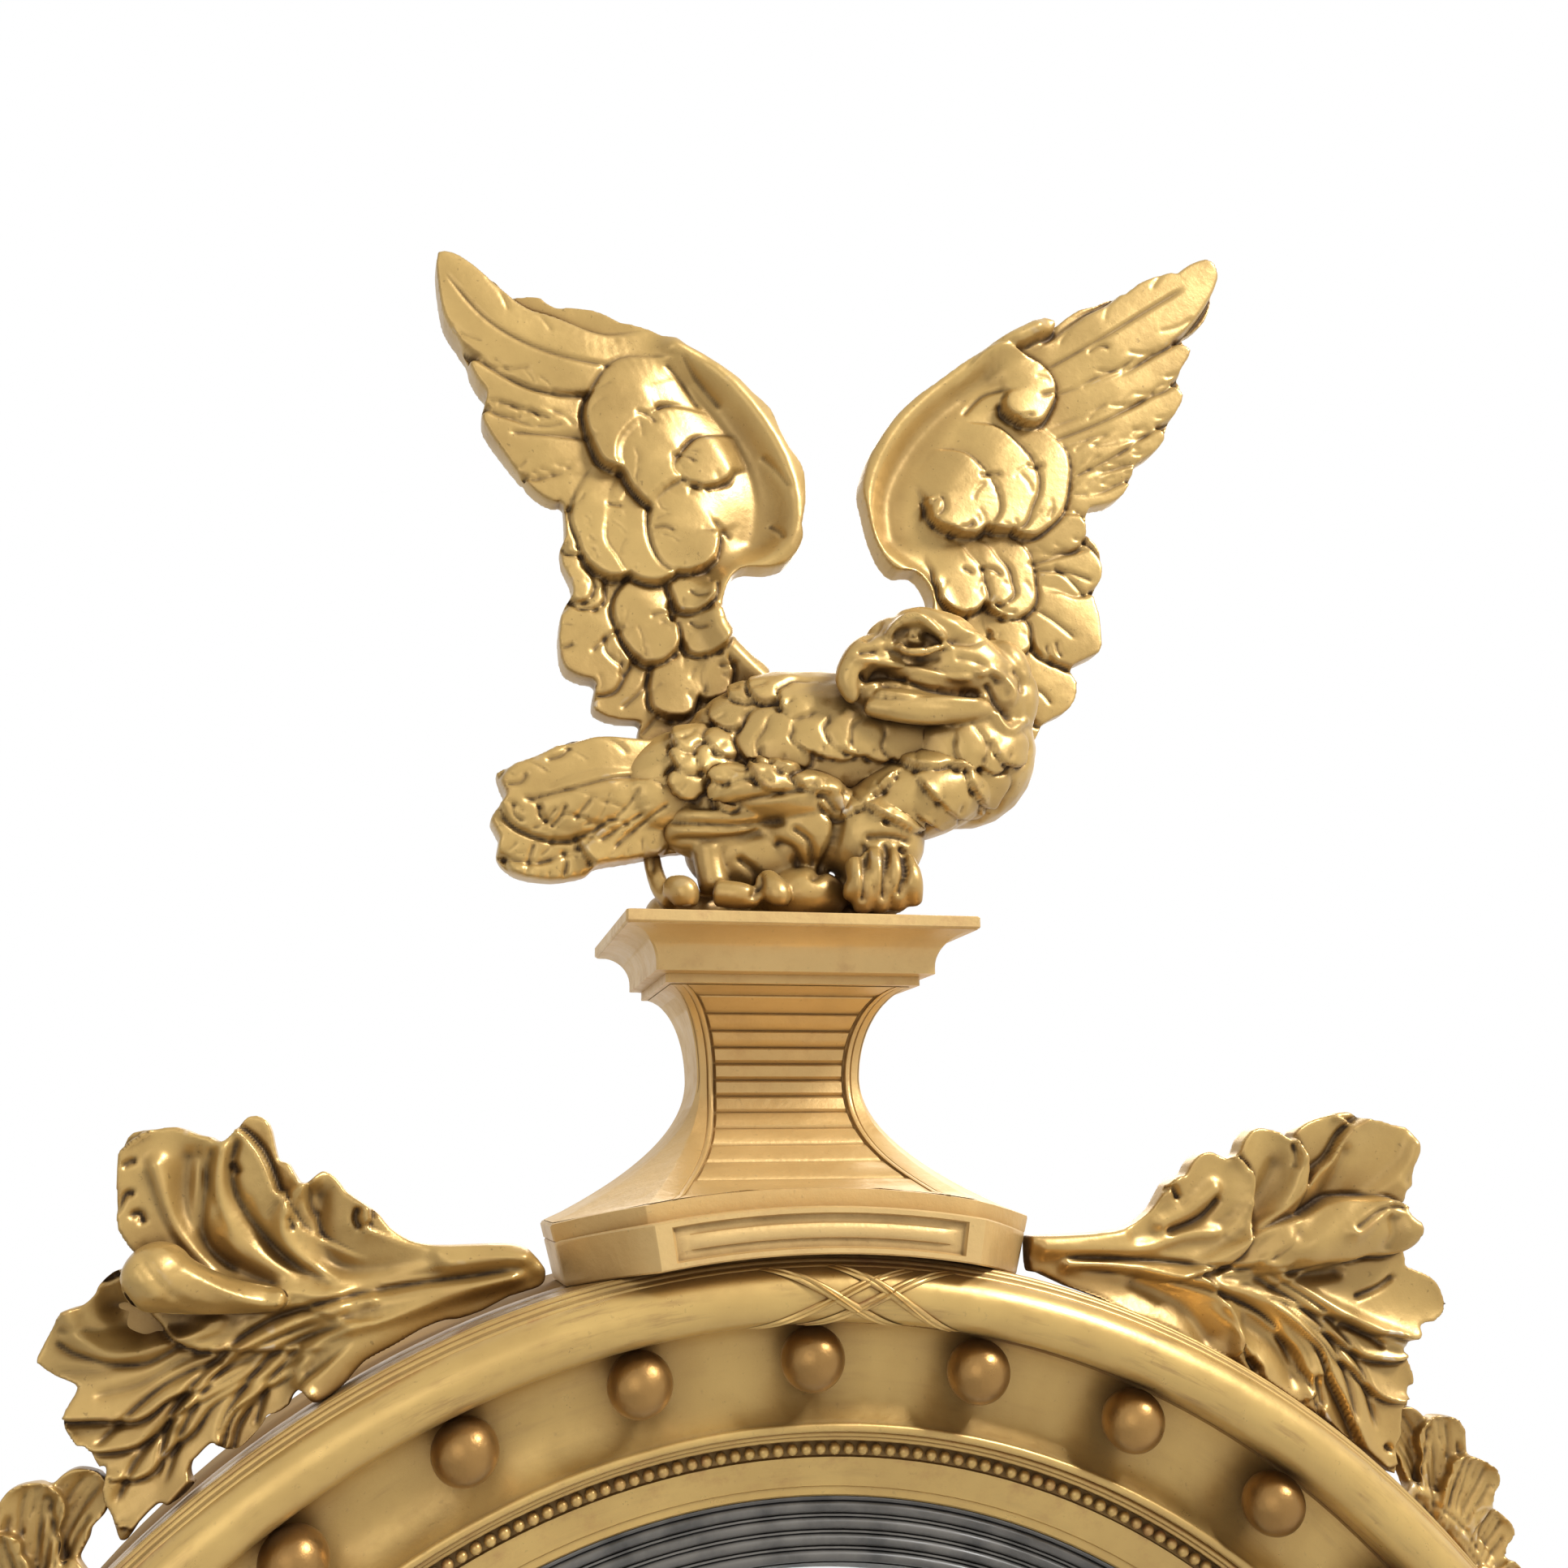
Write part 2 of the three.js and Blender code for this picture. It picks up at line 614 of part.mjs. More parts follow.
function pedestalShaft() {
  const top = neckBottom - CLEARANCE;
  const foot = shaftFoot * Math.cos(sideAngle) - 2;
  const levels = 14;
  const rings = [];
  for (let i = 0; i <= levels; i += 1) {
    const z = THREE.MathUtils.lerp(foot, top, i / levels);
    const { half, side, front, sideFront, back } = shaftAt(z);
    const plan = [
      [-half, -front],
      [half, -front],
      [side, -sideFront],
      [side, -back],
      [-side, -back],
      [-side, -sideFront],
    ];
    rings.push(plan.map(([x, y]) => new THREE.Vector3(x, y, z)));
  }
  const seat = turned([[0, 0], [shaftFoot, 0], [shaftFoot, 2 * plinthFront], [0, 2 * plinthFront]]);
  return cutFrom(loft(rings), [seat, ...panelGrooves()]);
}

// Horizontal grooves that leave flat reeds on the shaft's front.
function panelGrooves() {
  const bottom = plinthTop + PANEL_MARGIN / 2;
  const pitch = (neckBottom - PANEL_MARGIN / 2 - bottom) / PANEL_REEDS;
  return Array.from({ length: PANEL_REEDS - 1 }, (_, i) => {
    const z = bottom + (i + 1) * pitch;
    const { half, front } = shaftAt(z);
    return block([0, front, z], [2 * (half - PANEL_MARGIN), 2 * PANEL_GROOVE, pitch * 0.25]);
  });
}

// A rectangle inside the slab's edges at a height.
function capRing({ side, front, back }, z) {
  const half = SLAB_HALF_WIDTH - side;
  const corners = [
    [-half, front - SLAB_DEPTH],
    [half, front - SLAB_DEPTH],
    [half, -back],
    [-half, -back],
  ];
  return corners.map(([x, y]) => new THREE.Vector3(x, y, z));
}

// The pedestal's cap: a neck, a fillet, a cavetto and the slab, mitred round four sides.
function pedestalCap() {
  const { lerp } = THREE.MathUtils;
  const steps = 5;
  const rings = [
    capRing(NECK_INSET, neckBottom),
    capRing(NECK_INSET, neckTop),
    capRing(FILLET_INSET, neckTop + CLEARANCE),
    capRing(FILLET_INSET, corniceBottom),
  ];
  for (let i = 1; i <= steps; i += 1) {
    const angle = ((i / steps) * Math.PI) / 2;
    const out = 1 - Math.cos(angle);
    const inset = {
      side: lerp(FILLET_INSET.side, SLAB_LIP, out),
      front: lerp(FILLET_INSET.front, SLAB_LIP, out),
      back: lerp(FILLET_INSET.back, SLAB_LIP, out),
    };
    rings.push(capRing(inset, corniceBottom + Math.sin(angle) * (CAVETTO_HEIGHT - CLEARANCE)));
  }
  const edge = { side: 0, front: 0, back: 0 };
  rings.push(capRing(edge, slabBottom), capRing(edge, slabBottom + SLAB_THICKNESS));
  return loft(rings);
}

// ---------- Eagle ----------

// Heights in these lists are above the perch.
const LEFT_WING = {
  fillings: [
    [-48, 238, 44, 46, 0],
    [-62, 186, 30, 46, 0],
    [-62, 136, 32, 42, 0],
    [-38, 118, 30, 34, 0],
    [-10, 212, 25, 44, 10],
  ],
  blades: [
    [[-52, 274], [-160, 316], 30, 2],
    [[-56, 266], [-148, 280], 26, -1],
    [[-62, 258], [-141, 263], 22, 1],
    [[-64, 244], [-139, 240], 28, 3],
    [[-66, 230], [-124, 213], 26, 0],
    [[-66, 212], [-104, 193], 24, 2],
  ],
  coverts: [
    [-64, 262, 24, 22, 20],
    [-42, 240, 22, 18, 10],
    [-78, 218, 14, 30, 0],
    [-62, 198, 15, 26, 0],
    [-84, 178, 16, 24, -10],
    [-38, 192, 17, 20, 0],
    [-62, 160, 16, 24, 0],
    [-42, 158, 14, 22, -10],
    [-82, 134, 18, 22, 10],
    [-68, 110, 16, 18, 20],
    [-30, 136, 13, 22, -25],
  ],
  edge: [
    [-50, 286], [-22, 272], [0, 252], [11, 224], [8, 194],
    [-12, 180], [-30, 164], [-28, 142], [-8, 124],
  ],
};

const RIGHT_WING = {
  fillings: [
    [112, 246, 52, 46, 20],
    [118, 196, 34, 46, 0],
    [124, 146, 32, 44, 0],
    [116, 112, 22, 30, 0],
    [78, 206, 24, 46, 0],
  ],
  blades: [
    [[124, 292], [243, 361], 30, 2],
    [[130, 282], [224, 306], 28, -1],
    [[134, 272], [218, 286], 26, 1],
    [[134, 258], [206, 264], 24, -1],
    [[134, 244], [190, 240], 24, 2],
    [[130, 228], [176, 222], 22, 0],
    [[124, 202], [168, 196], 24, 1],
    [[120, 178], [166, 182], 26, -1],
    [[120, 158], [164, 152], 36, 2],
    [[118, 136], [150, 124], 28, 0],
  ],
  coverts: [
    [120, 274, 22, 20, 20],
    [92, 260, 26, 16, 40],
    [132, 248, 16, 24, 0],
    [108, 238, 18, 20, 0],
    [84, 234, 16, 18, 0],
    [118, 214, 16, 20, 0],
    [92, 204, 16, 18, 0],
    [120, 186, 17, 20, 0],
    [98, 174, 15, 18, 0],
    [118, 158, 15, 18, 0],
  ],
  edge: [
    [134, 308], [104, 284], [74, 260], [56, 236], [51, 210],
    [58, 186], [78, 176], [88, 152], [98, 126],
  ],
};

const lifted = ([x, z]) => [x, perch + z];

// One wing: filling shapes, long blades, rounded coverts and the rolled front edge.
function wing({ fillings, blades, coverts, edge }, keepOut) {
  const core = fillings.map(([x, z, a, c, tilt]) => (
    egg([x, wingDepth, perch + z], [a, WING_CORE_THICKNESS / 2, c], tilt)
  ));
  const long = blades.map(([root, tip, width, out]) => (
    blade(lifted(root), lifted(tip), width, wingDepth + out, FEATHER_THICKNESS)
  ));
  const round = coverts.map(([x, z, a, c, tilt]) => (
    egg([x, wingDepth + 4, perch + z], [a, SCALE_THICKNESS / 2, c], tilt, 6)
  ));
  const rolled = rim(edge.map(lifted), WING_CORE_THICKNESS / 2, wingDepth + 3, 14);
  return cutFrom(carve([...core, ...long, ...round, rolled]), keepOut);
}

// The bird's trunk, neck, head, thighs and feet, carved from one block.
function eagleTrunk(grow = 0) {
  const lump = ([x, out, z], [a, b, c], tilt, sides) => (
    egg([x, eagleDepth + out, perch + z], [a + grow, b + grow, c + grow], tilt, sides)
  );
  return carve([
    lump([38, 0, 86], [84, 36, 37], 8, 10),
    lump([28, 0, 98], [56, 30, 28], 6, 8),
    lump([84, 4, 90], [39, 38, 40], 0, 8),
    lump([84, 16, 118], [30, 26, 26], 0, 8),
    lump([70, 28, 130], [38, 20, 17], -4, 8),
    lump([58, 28, 136], [24, 16, 13], 6, 8),
    lump([38, 30, 120], [17, 9, 13], -40, 6),
    lump([29, 30, 106], [5, 6, 12], 10, 6),
    lump([-20, 16, 62], [52, 20, 22], 6, 8),
    lump([-52, 16, 44], [20, 16, 18], 0, 6),
    lump([-58, 14, 20], [9, 12, 22], -12, 6),
    lump([36, 14, 36], [26, 22, 28], 0, 8),
    lump([37, 14, 12], [19, 18, 18], 0, 6),
    lump([-8, -10, 36], [40, 22, 24], 0, 6),
  ]);
}

// The feet rest flat on the slab, each toe with a hooked claw.
function eagleFeet() {
  const pads = [
    egg([-40, eagleDepth, perch + 12], [28, 24, 16], 0, 8),
    egg([30, eagleDepth, perch + 8], [34, 24, 14], 0, 8),
  ];
  const toes = [
    [-37, 26, 4],
    [-61, 18, 4],
    [52, 24, 4],
    [33, 28, 4],
  ].map(([x, out, z]) => egg([x, eagleDepth + out, perch + z], [14, 6, 7], 8, 6));
  return carve([...pads, ...toes]);
}

function eagleBody() {
  const below = block([0, eagleDepth, perch - 50], [4 * SLAB_HALF_WIDTH, 2 * SLAB_DEPTH, 100]);
  return cutFrom(join([eagleTrunk(), eagleFeet()]), [below]);
}

function eagleTail() {
  const spread = [
    [[-46, 74], [-125, 64], 22, 4],
    [[-46, 66], [-129, 48], 26, -6],
    [[-46, 60], [-131, 34], 24, 3],
    [[-46, 54], [-116, 22], 24, -4],
    [[-46, 50], [-92, 21], 24, 5],
  ];
  const feathers = spread.map(([root, tip, width, out]) => (
    blade(lifted(root), lifted(tip), width, tailDepth + out, TAIL_THICKNESS)
  ));
  const root = egg([-58, tailDepth, perch + 62], [26, 12, 18], 16, 8);
  return cutFrom(carve([...feathers, root]), [eagleTrunk(CLEARANCE + FACET_TOLERANCE)]);
}

// ---------- Acanthus ----------

// Places in these lists are from the point of the frame's edge where the leaf springs.
const CREST_LEAF = {
  angle: CREST_LEAF_ANGLE,
  seat: [-9, 12],
  stem: [
    [-58, 47, 22, 8, 0],
    [-19, 44, 36, 11, 4],
    [31, 38, 44, 18, 10],
    [62, 48, 26, 26, 0],
    [62, 12, 28, 26, 0],
    [20, 20, 36, 16, -30],
  ],
  lobes: [
    [[-24, 46], [-5, 73], 18, 2],
    [[2, 48], [6, 85], 26, -2],
    [[22, 48], [34, 107], 32, 3],
    [[44, 50], [62, 101], 38, -1],
    [[52, 48], [82, 92], 30, 2],
    [[60, 32], [112, 22], 38, 1],
    [[56, 14], [97, -6], 32, -2],
    [[44, 8], [80, -28], 30, 2],
    [[22, 16], [52, -22], 24, -2],
    [[-8, 28], [19, 0], 22, 1],
    [[-34, 36], [-16, 22], 14, 0],
  ],
  knobs: [[68, 42, 13], [80, 70, 13]],
};

const SIDE_LEAF = {
  angle: SIDE_LEAF_ANGLE,
  seat: [-5, 9],
  stem: [
    [4, 34, 24, 16, -45],
    [18, -2, 32, 12, -60],
  ],
  lobes: [
    [[-10, 42], [-12, 68], 18, 1],
    [[-4, 38], [2, 70], 22, -1],
    [[2, 24], [18, 56], 24, 2],
    [[6, 8], [26, 32], 22, -1],
    [[10, -8], [32, 4], 22, 1],
    [[16, -26], [36, -26], 20, -1],
    [[24, -38], [40, -54], 18, 1],
  ],
  knobs: [[10, 34, 9]],
};

// A curved foot along the frame's edge, between two angles from the vertical.
function leafSeat(start, end, side, up, grow) {
  const toTurn = (degrees) => THREE.MathUtils.degToRad(90 - degrees);
  const shape = new THREE.Shape();
  shape.absarc(0, 0, FRAME_RADIUS + SEAT_HEIGHT + grow, toTurn(end), toTurn(start), false);
  shape.absarc(0, 0, FRAME_RADIUS - SEAT_HEIGHT, toTurn(start), toTurn(end), true);
  const depth = SEAT_THICKNESS + 2 * grow;
  const options = { depth, bevelEnabled: false, curveSegments: 4 };
  const geometry = new THREE.ExtrudeGeometry(shape, options);
  geometry.rotateX(Math.PI / 2);
  geometry.translate(0, depth / 2 - leafDepth, 0);
  return toSolid(geometry.scale(side, 1, up));
}

// A leaf of lobes that spring from a stem, on one side of the frame, above or below its middle.
function leaf({ angle, seat, stem, lobes, knobs }, side, up, grow = 0) {
  const spring = THREE.MathUtils.degToRad(angle);
  const half = LEAF_THICKNESS / 2 + grow;
  const place = ([x, z]) => [
    side * (FRAME_RADIUS * Math.sin(spring) + x),
    up * (FRAME_RADIUS * Math.cos(spring) + z),
  ];
  const lump = ([px, pz], depth, a, c, tilt) => (
    egg([px, depth, pz], [a + grow, half, c + grow], side * up * tilt, 6)
  );
  return carve([
    leafSeat(angle + seat[0], angle + seat[1], side, up, grow),
    ...stem.map(([x, z, a, c, tilt]) => lump(place([x, z]), leafDepth, a, c, tilt)),
    ...lobes.map(([root, tip, width, out]) => (
      blade(place(root), place(tip), width, leafDepth + out, LEAF_THICKNESS * 0.6, grow)
    )),
    ...knobs.map(([x, z, radius]) => lump(place([x, z]), leafDepth + half / 2, radius, radius, 0)),
  ]);
}

// Each leaf is cut to the frame's edge and stops short of what it meets.
function seatedLeaf(shape, side, up, neighbours) {
  const reach = 2 * plinthFront;
  const edge = FRAME_RADIUS + CLEARANCE;
  const frame = turned([[0, -reach], [edge, -reach], [edge, reach], [0, reach]]);
  return cutFrom(leaf(shape, side, up), [frame, ...neighbours]);
}

// A carved bud that hangs from the bottom of the frame, behind the roots of the lower leaves.
function apronDrop() {
  const profile = [[0, 0], [0.7, 0], [0.8, 0.2], [0.55, 0.3], [1, 0.5], [0.9, 0.66], [0.5, 0.86], [0, 1]];
  const outline = profile.map(([radius, drop]) => (
    new THREE.Vector2(radius * DROP_RADIUS, -drop * DROP_LENGTH)
  ));
  const geometry = new THREE.LatheGeometry(outline, 12);
  geometry.rotateX(Math.PI / 2);
  return toSolid(geometry.translate(0, -leafDepth, -(FRAME_RADIUS + CLEARANCE)));
}

// ---------- Assembly ----------

addPiece("rear_rim", rearRim(), ochrePaint);
addPiece("hollow_moulding", hollowMoulding(), burnishedGold);
addPiece("outer_torus", outerTorus(), burnishedGold);
addPiece("beaded_slip", beadedSlip(), burnishedGold);
addPiece("pearl_string", pearlString(), burnishedGold);
addPiece("reeded_slip", reededSlip(), ebonised);
addPiece("mirror_plate", mirrorPlate(), silvered);
addPiece("backboard", backboard(), rawPine);
addBalls();

boardScrewPlaces().forEach((place, i) => {
  addPiece("board_screw_" + (i + 1), screw(place, 0), steel);
});
addPiece("hanger_plate", hangerPlate(), brass);
addPiece("hanger_ring", hangerRing(), brass);
hangerScrewPlaces().forEach((place, i) => {
  addPiece("hanger_screw_" + (i + 1), screw(place, hangerPlateFace - SCREW_HEAD_HEIGHT), steel);
});

addPiece("plinth", plinth(), matteGold);
addPiece("pedestal_shaft", pedestalShaft(), matteGold);
addPiece("pedestal_cap", pedestalCap(), matteGold);

const trunkRoom = eagleTrunk(CLEARANCE + FACET_TOLERANCE);
addPiece("eagle_body", eagleBody(), burnishedGold);
addPiece("eagle_tail", eagleTail(), burnishedGold);
addPiece("wing_left", wing(LEFT_WING, [trunkRoom]), burnishedGold);
addPiece("wing_right", wing(RIGHT_WING, [trunkRoom]), burnishedGold);

const drop = apronDrop();
for (const [side, sideName] of [[-1, "left"], [1, "right"]]) {
  const crest = seatedLeaf(CREST_LEAF, side, 1, []);
  const crestRoom = leaf(CREST_LEAF, side, 1, CLEARANCE + FACET_TOLERANCE);
  const lower = seatedLeaf(SIDE_LEAF, side, 1, [crestRoom]);
  addPiece("crest_leaf_" + sideName, crest, burnishedGold);
  addPiece("side_leaf_" + sideName, lower, burnishedGold);
  addPiece("apron_leaf_" + sideName, seatedLeaf(CREST_LEAF, side, -1, [drop]), burnishedGold);
}
addPiece("apron_drop", drop, burnishedGold);

export default mirror;
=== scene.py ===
import math
import random

import bmesh
import bpy
import numpy as np
from mathutils import Matrix, Vector


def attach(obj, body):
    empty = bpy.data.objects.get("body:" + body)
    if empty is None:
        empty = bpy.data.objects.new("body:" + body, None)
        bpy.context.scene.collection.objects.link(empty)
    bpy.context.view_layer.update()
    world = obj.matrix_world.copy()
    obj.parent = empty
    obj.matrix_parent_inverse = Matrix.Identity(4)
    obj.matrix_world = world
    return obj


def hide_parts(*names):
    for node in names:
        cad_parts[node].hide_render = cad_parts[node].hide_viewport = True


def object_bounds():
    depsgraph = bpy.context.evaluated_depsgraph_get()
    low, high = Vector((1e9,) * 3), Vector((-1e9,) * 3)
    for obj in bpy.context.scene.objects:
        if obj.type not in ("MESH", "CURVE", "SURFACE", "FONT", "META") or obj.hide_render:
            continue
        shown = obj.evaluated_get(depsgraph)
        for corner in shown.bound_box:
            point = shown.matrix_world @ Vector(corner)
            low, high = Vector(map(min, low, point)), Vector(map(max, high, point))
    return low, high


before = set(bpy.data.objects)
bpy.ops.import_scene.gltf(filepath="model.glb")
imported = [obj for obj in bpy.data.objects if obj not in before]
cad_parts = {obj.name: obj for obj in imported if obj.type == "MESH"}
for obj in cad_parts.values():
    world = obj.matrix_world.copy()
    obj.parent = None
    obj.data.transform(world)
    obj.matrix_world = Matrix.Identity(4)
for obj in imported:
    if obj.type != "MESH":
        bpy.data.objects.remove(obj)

packed_bounds = [list(corner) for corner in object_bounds()]
chance = random.Random(7)

STEPS = 192  # round each turned moulding
VOXEL = 0.9  # grain of the carved pieces
EYE = Vector((-157.2, -778.0, 397.9))  # where the camera stands

# Sizes of the frame, as in the CAD part.
FRAME_RADIUS = 367.0
RIM_DEPTH = 80.0
TORUS = (352.0, 124.2, 11.0)  # radius of the ring, depth and section radius
HOLLOW = (321.0, 128.6, 26.0)
PEARL_RING = 292.0
SIGHT = 273.0
BALL_RADIUS = 12.7
GLASS_RADIUS = 254.0
GLASS_BULGE = 38.0
PLINTH_FOOT = 367.3
PLINTH_STEP = 385.3
PLINTH_TOP = 392.3
PLINTH_FRONT = 139.1
PERCH = 503.6
WING_DEPTH = 52.0
LEAF_DEPTH = 96.0
READ_BODY = 87.0  # depth of the plane on which the bird's places were measured
NARROW = 2.5  # strokes below this width are chiselled lines


# ---------- Placing ----------

def mix(a, b, share):
    return a + (b - a) * share


def ease(share):
    share = min(max(share, 0.0), 1.0)
    return share * share * (3 - 2 * share)


def along(points, share):
    """The point at a share of the smooth curve through points."""
    spans = len(points) - 1
    place = min(max(share, 0.0), 1.0) * spans
    i = min(int(place), spans - 1)
    t = place - i
    a, b, c, d = (points[min(max(k, 0), spans)] for k in (i - 1, i, i + 1, i + 2))
    return 0.5 * (2 * b + (c - a) * t + (2 * a - 5 * b + 4 * c - d) * t**2 + (3 * b - a - 3 * c + d) * t**3)


def seen(x, z, depth, read=READ_BODY):
    """The point at a depth that covers x, z of the plane at depth read, from the camera."""
    share = (-EYE.y - depth) / (-EYE.y - read)
    return Vector((mix(EYE.x, x, share), -depth, mix(EYE.z, z, share)))


def flat(points):
    return [Vector((x, 0, z)) for x, z in points]


# ---------- Shapes ----------

def sheet(bm, columns, rows, place):
    """A grid of faces whose corners go to place(u, v), with u and v from 0 to 1."""
    corners = bmesh.ops.create_grid(bm, x_segments=columns, y_segments=rows, size=0.5)["verts"]
    for corner in corners:
        corner.co = place(corner.co.x + 0.5, corner.co.y + 0.5)
    return corners


def around(count):
    """Angles that divide a full turn."""
    return np.linspace(0, 2 * math.pi, count, False)


def faces_of(verts):
    chosen = set(verts)
    return [face for face in {f for v in verts for f in v.link_faces} if chosen.issuperset(face.verts)]


def slab(bm, verts, back):
    """Gives a sheet a thickness by the vector back."""
    grown = bmesh.ops.extrude_face_region(bm, geom=faces_of(verts), use_keep_orig=True)["geom"]
    far = [item for item in grown if isinstance(item, bmesh.types.BMVert)]
    bmesh.ops.translate(bm, verts=far, vec=back)


def loft(bm, rings):
    """A closed body through rings of points, each as long as the first."""
    count, last = len(rings[0]), len(rings) - 1

    def place(u, v):
        return rings[round(v * last)][round(u * count) % count]

    verts = sheet(bm, count, last, place)
    verts = weld(bm, verts)
    bmesh.ops.holes_fill(bm, edges=[e for e in {e for v in verts for e in v.link_edges} if e.is_boundary], sides=0)
    return verts


def weld(bm, verts):
    bmesh.ops.remove_doubles(bm, verts=verts, dist=0.01)
    return [v for v in verts if v.is_valid]


def spun(bm, profile, closed=True):
    """A moulding turned about the Y axis from points of radius and depth."""
    verts = [bm.verts.new((radius, -depth, 0)) for radius, depth in profile]
    pairs = list(zip(verts, verts[1:]))
    if closed:
        pairs.append((verts[-1], verts[0]))
    edges = [bm.edges.new(pair) for pair in pairs]
    bmesh.ops.spin(
        bm, geom=verts + edges, cent=(0, 0, 0), axis=(0, 1, 0), angle=2 * math.pi, steps=STEPS, use_merge=True
    )


def arc(radius, depth, section, start, end, count=10):
    """Points of a round, between two angles from the outward direction."""
    angles = (math.radians(mix(start, end, i / count)) for i in range(count + 1))
    return [(radius + section * math.cos(a), depth + section * math.sin(a)) for a in angles]


def softened(profile, radius=0.8):
    """Rounds every corner of a closed profile."""
    points = [Vector(point) for point in profile]
    rounded = []
    for i, point in enumerate(points):
        before, after = points[i - 1] - point, points[(i + 1) % len(points)] - point
        reach = min(radius, before.length * 0.45, after.length * 0.45)
        start, end = point + before.normalized() * reach, point + after.normalized() * reach
        rounded += [tuple(start), tuple((start + end + 2 * point) / 4), tuple(end)]
    return rounded


def tube(bm, points, radii, sides=12):
    """A rod along the curve through points, rounded off at both ends."""
    rows = 6 * len(points)
    radii = [float(r) for r in radii]

    def place(u, v):
        centre = along(points, v)
        ahead = (along(points, min(v + 0.01, 1)) - along(points, max(v - 0.01, 0))).normalized()
        side = ahead.cross(Vector((0, 1, 0)))
        side = side.normalized() if side.length > 0.05 else Vector((1, 0, 0))
        other = ahead.cross(side)
        end = min(v, 1 - v) * rows
        radius = along(radii, v) * math.sqrt(min(1.0, end / 2.0))
        angle = 2 * math.pi * u
        return centre + (side * math.cos(angle) + other * math.sin(angle)) * radius

    return weld(bm, sheet(bm, sides, rows, place))


def lump(bm, centre, half, tilt=0.0):
    """An egg with half sizes along x, depth and z, tilted up to the right by degrees."""
    verts = bmesh.ops.create_icosphere(bm, subdivisions=3, radius=1)["verts"]
    turn = Matrix.Rotation(-math.radians(tilt), 4, "Y")
    bmesh.ops.transform(bm, verts=verts, matrix=Matrix.Translation(centre) @ turn @ Matrix.Diagonal((*half, 1)))


def tongue(bm, spine, width, depth, tip, camber):
    """A lobe along a spine of x and z, with a vein and a notched edge where its camber is hollow."""
    spine = flat(spine)
    bulge, notches, thickness = 0.7, 3, 8

    def outline(v):
        if v < bulge:
            share = mix(0.45, 1.0, math.sin(v / bulge * math.pi / 2))
        else:
            share = max(0.0, 1 - ((v - bulge) / (1 - bulge)) ** 2) ** 0.5
        return share * (1 - 0.2 * (1 - abs(math.sin(math.pi * notches * v))) ** 2) if camber < 0 else share

    def place(u, v):
        v = 1 - (1 - v) ** 1.5
        ahead = along(spine, min(v + 0.02, 1)) - along(spine, max(v - 0.02, 0))
        across = Vector((-ahead.z, 0, ahead.x)).normalized()
        side = 2 * u - 1
        spot = along(spine, v) + across * (side * outline(v) * width / 2)
        vein = 1.6 * math.exp(-((side / 0.14) ** 2)) * min(1, 3 * (1 - v)) if camber < 0 else 0
        spot.y = -depth - (tip * v * v + camber * (1 - side * side) - vein)
        return spot

    slab(bm, sheet(bm, 12, 18, place), Vector((0, thickness, 0)))


def fused(bm, voxel, soften=3):
    """Overlapping closed shapes as one carved skin."""
    bmesh.ops.recalc_face_normals(bm, faces=bm.faces)
    mesh = bpy.data.meshes.new("carving")
    bm.to_mesh(mesh)
    bm.free()
    block = bpy.data.objects.new("carving", mesh)
    bpy.context.scene.collection.objects.link(block)
    skin = block.modifiers.new("Skin", "REMESH")
    skin.mode = "VOXEL"
    skin.voxel_size = voxel
    smooth = block.modifiers.new("Smooth", "SMOOTH")
    smooth.factor = 0.5
    smooth.iterations = soften
    whole = bpy.data.meshes.new_from_object(block.evaluated_get(bpy.context.evaluated_depsgraph_get()))
    bpy.data.objects.remove(block)
    bpy.data.meshes.remove(mesh)
    return whole


def plate(bm, outline, back, front):
    """A flat piece with an outline of x and z, from one depth to another."""
    edge = flat(outline + outline[:1])
    count = 2 * len(outline)
    verts = [bm.verts.new(along(edge, i / count) - Vector((0, front, 0))) for i in range(count)]
    bm.faces.new(verts)
    slab(bm, verts, Vector((0, front - back, 0)))


def beside(places, points, reach):
    """The places within reach of a curve, with how far along and how far off it they are."""
    steps = 24
    curve = flat(points)
    line = np.array([[p.x, p.z] for p in (along(curve, i / steps) for i in range(steps + 1))])
    near = np.nonzero(((places > line.min(0) - reach) & (places < line.max(0) + reach)).all(1))[0]
    gap, share = np.full(len(near), 1e9), np.zeros(len(near))
    for i, (start, end) in enumerate(zip(line, line[1:])):
        span = end - start
        t = np.clip(((places[near] - start) @ span) / max(span @ span, 1e-9), 0, 1)
        away = np.linalg.norm(places[near] - start - t[:, None] * span, axis=1)
        share = np.where(away < gap, (i + t) / steps, share)
        gap = np.minimum(gap, away)
    return near, share, gap


def eased(values):
    values = np.clip(values, 0, 1)
    return values * values * (3 - 2 * values)


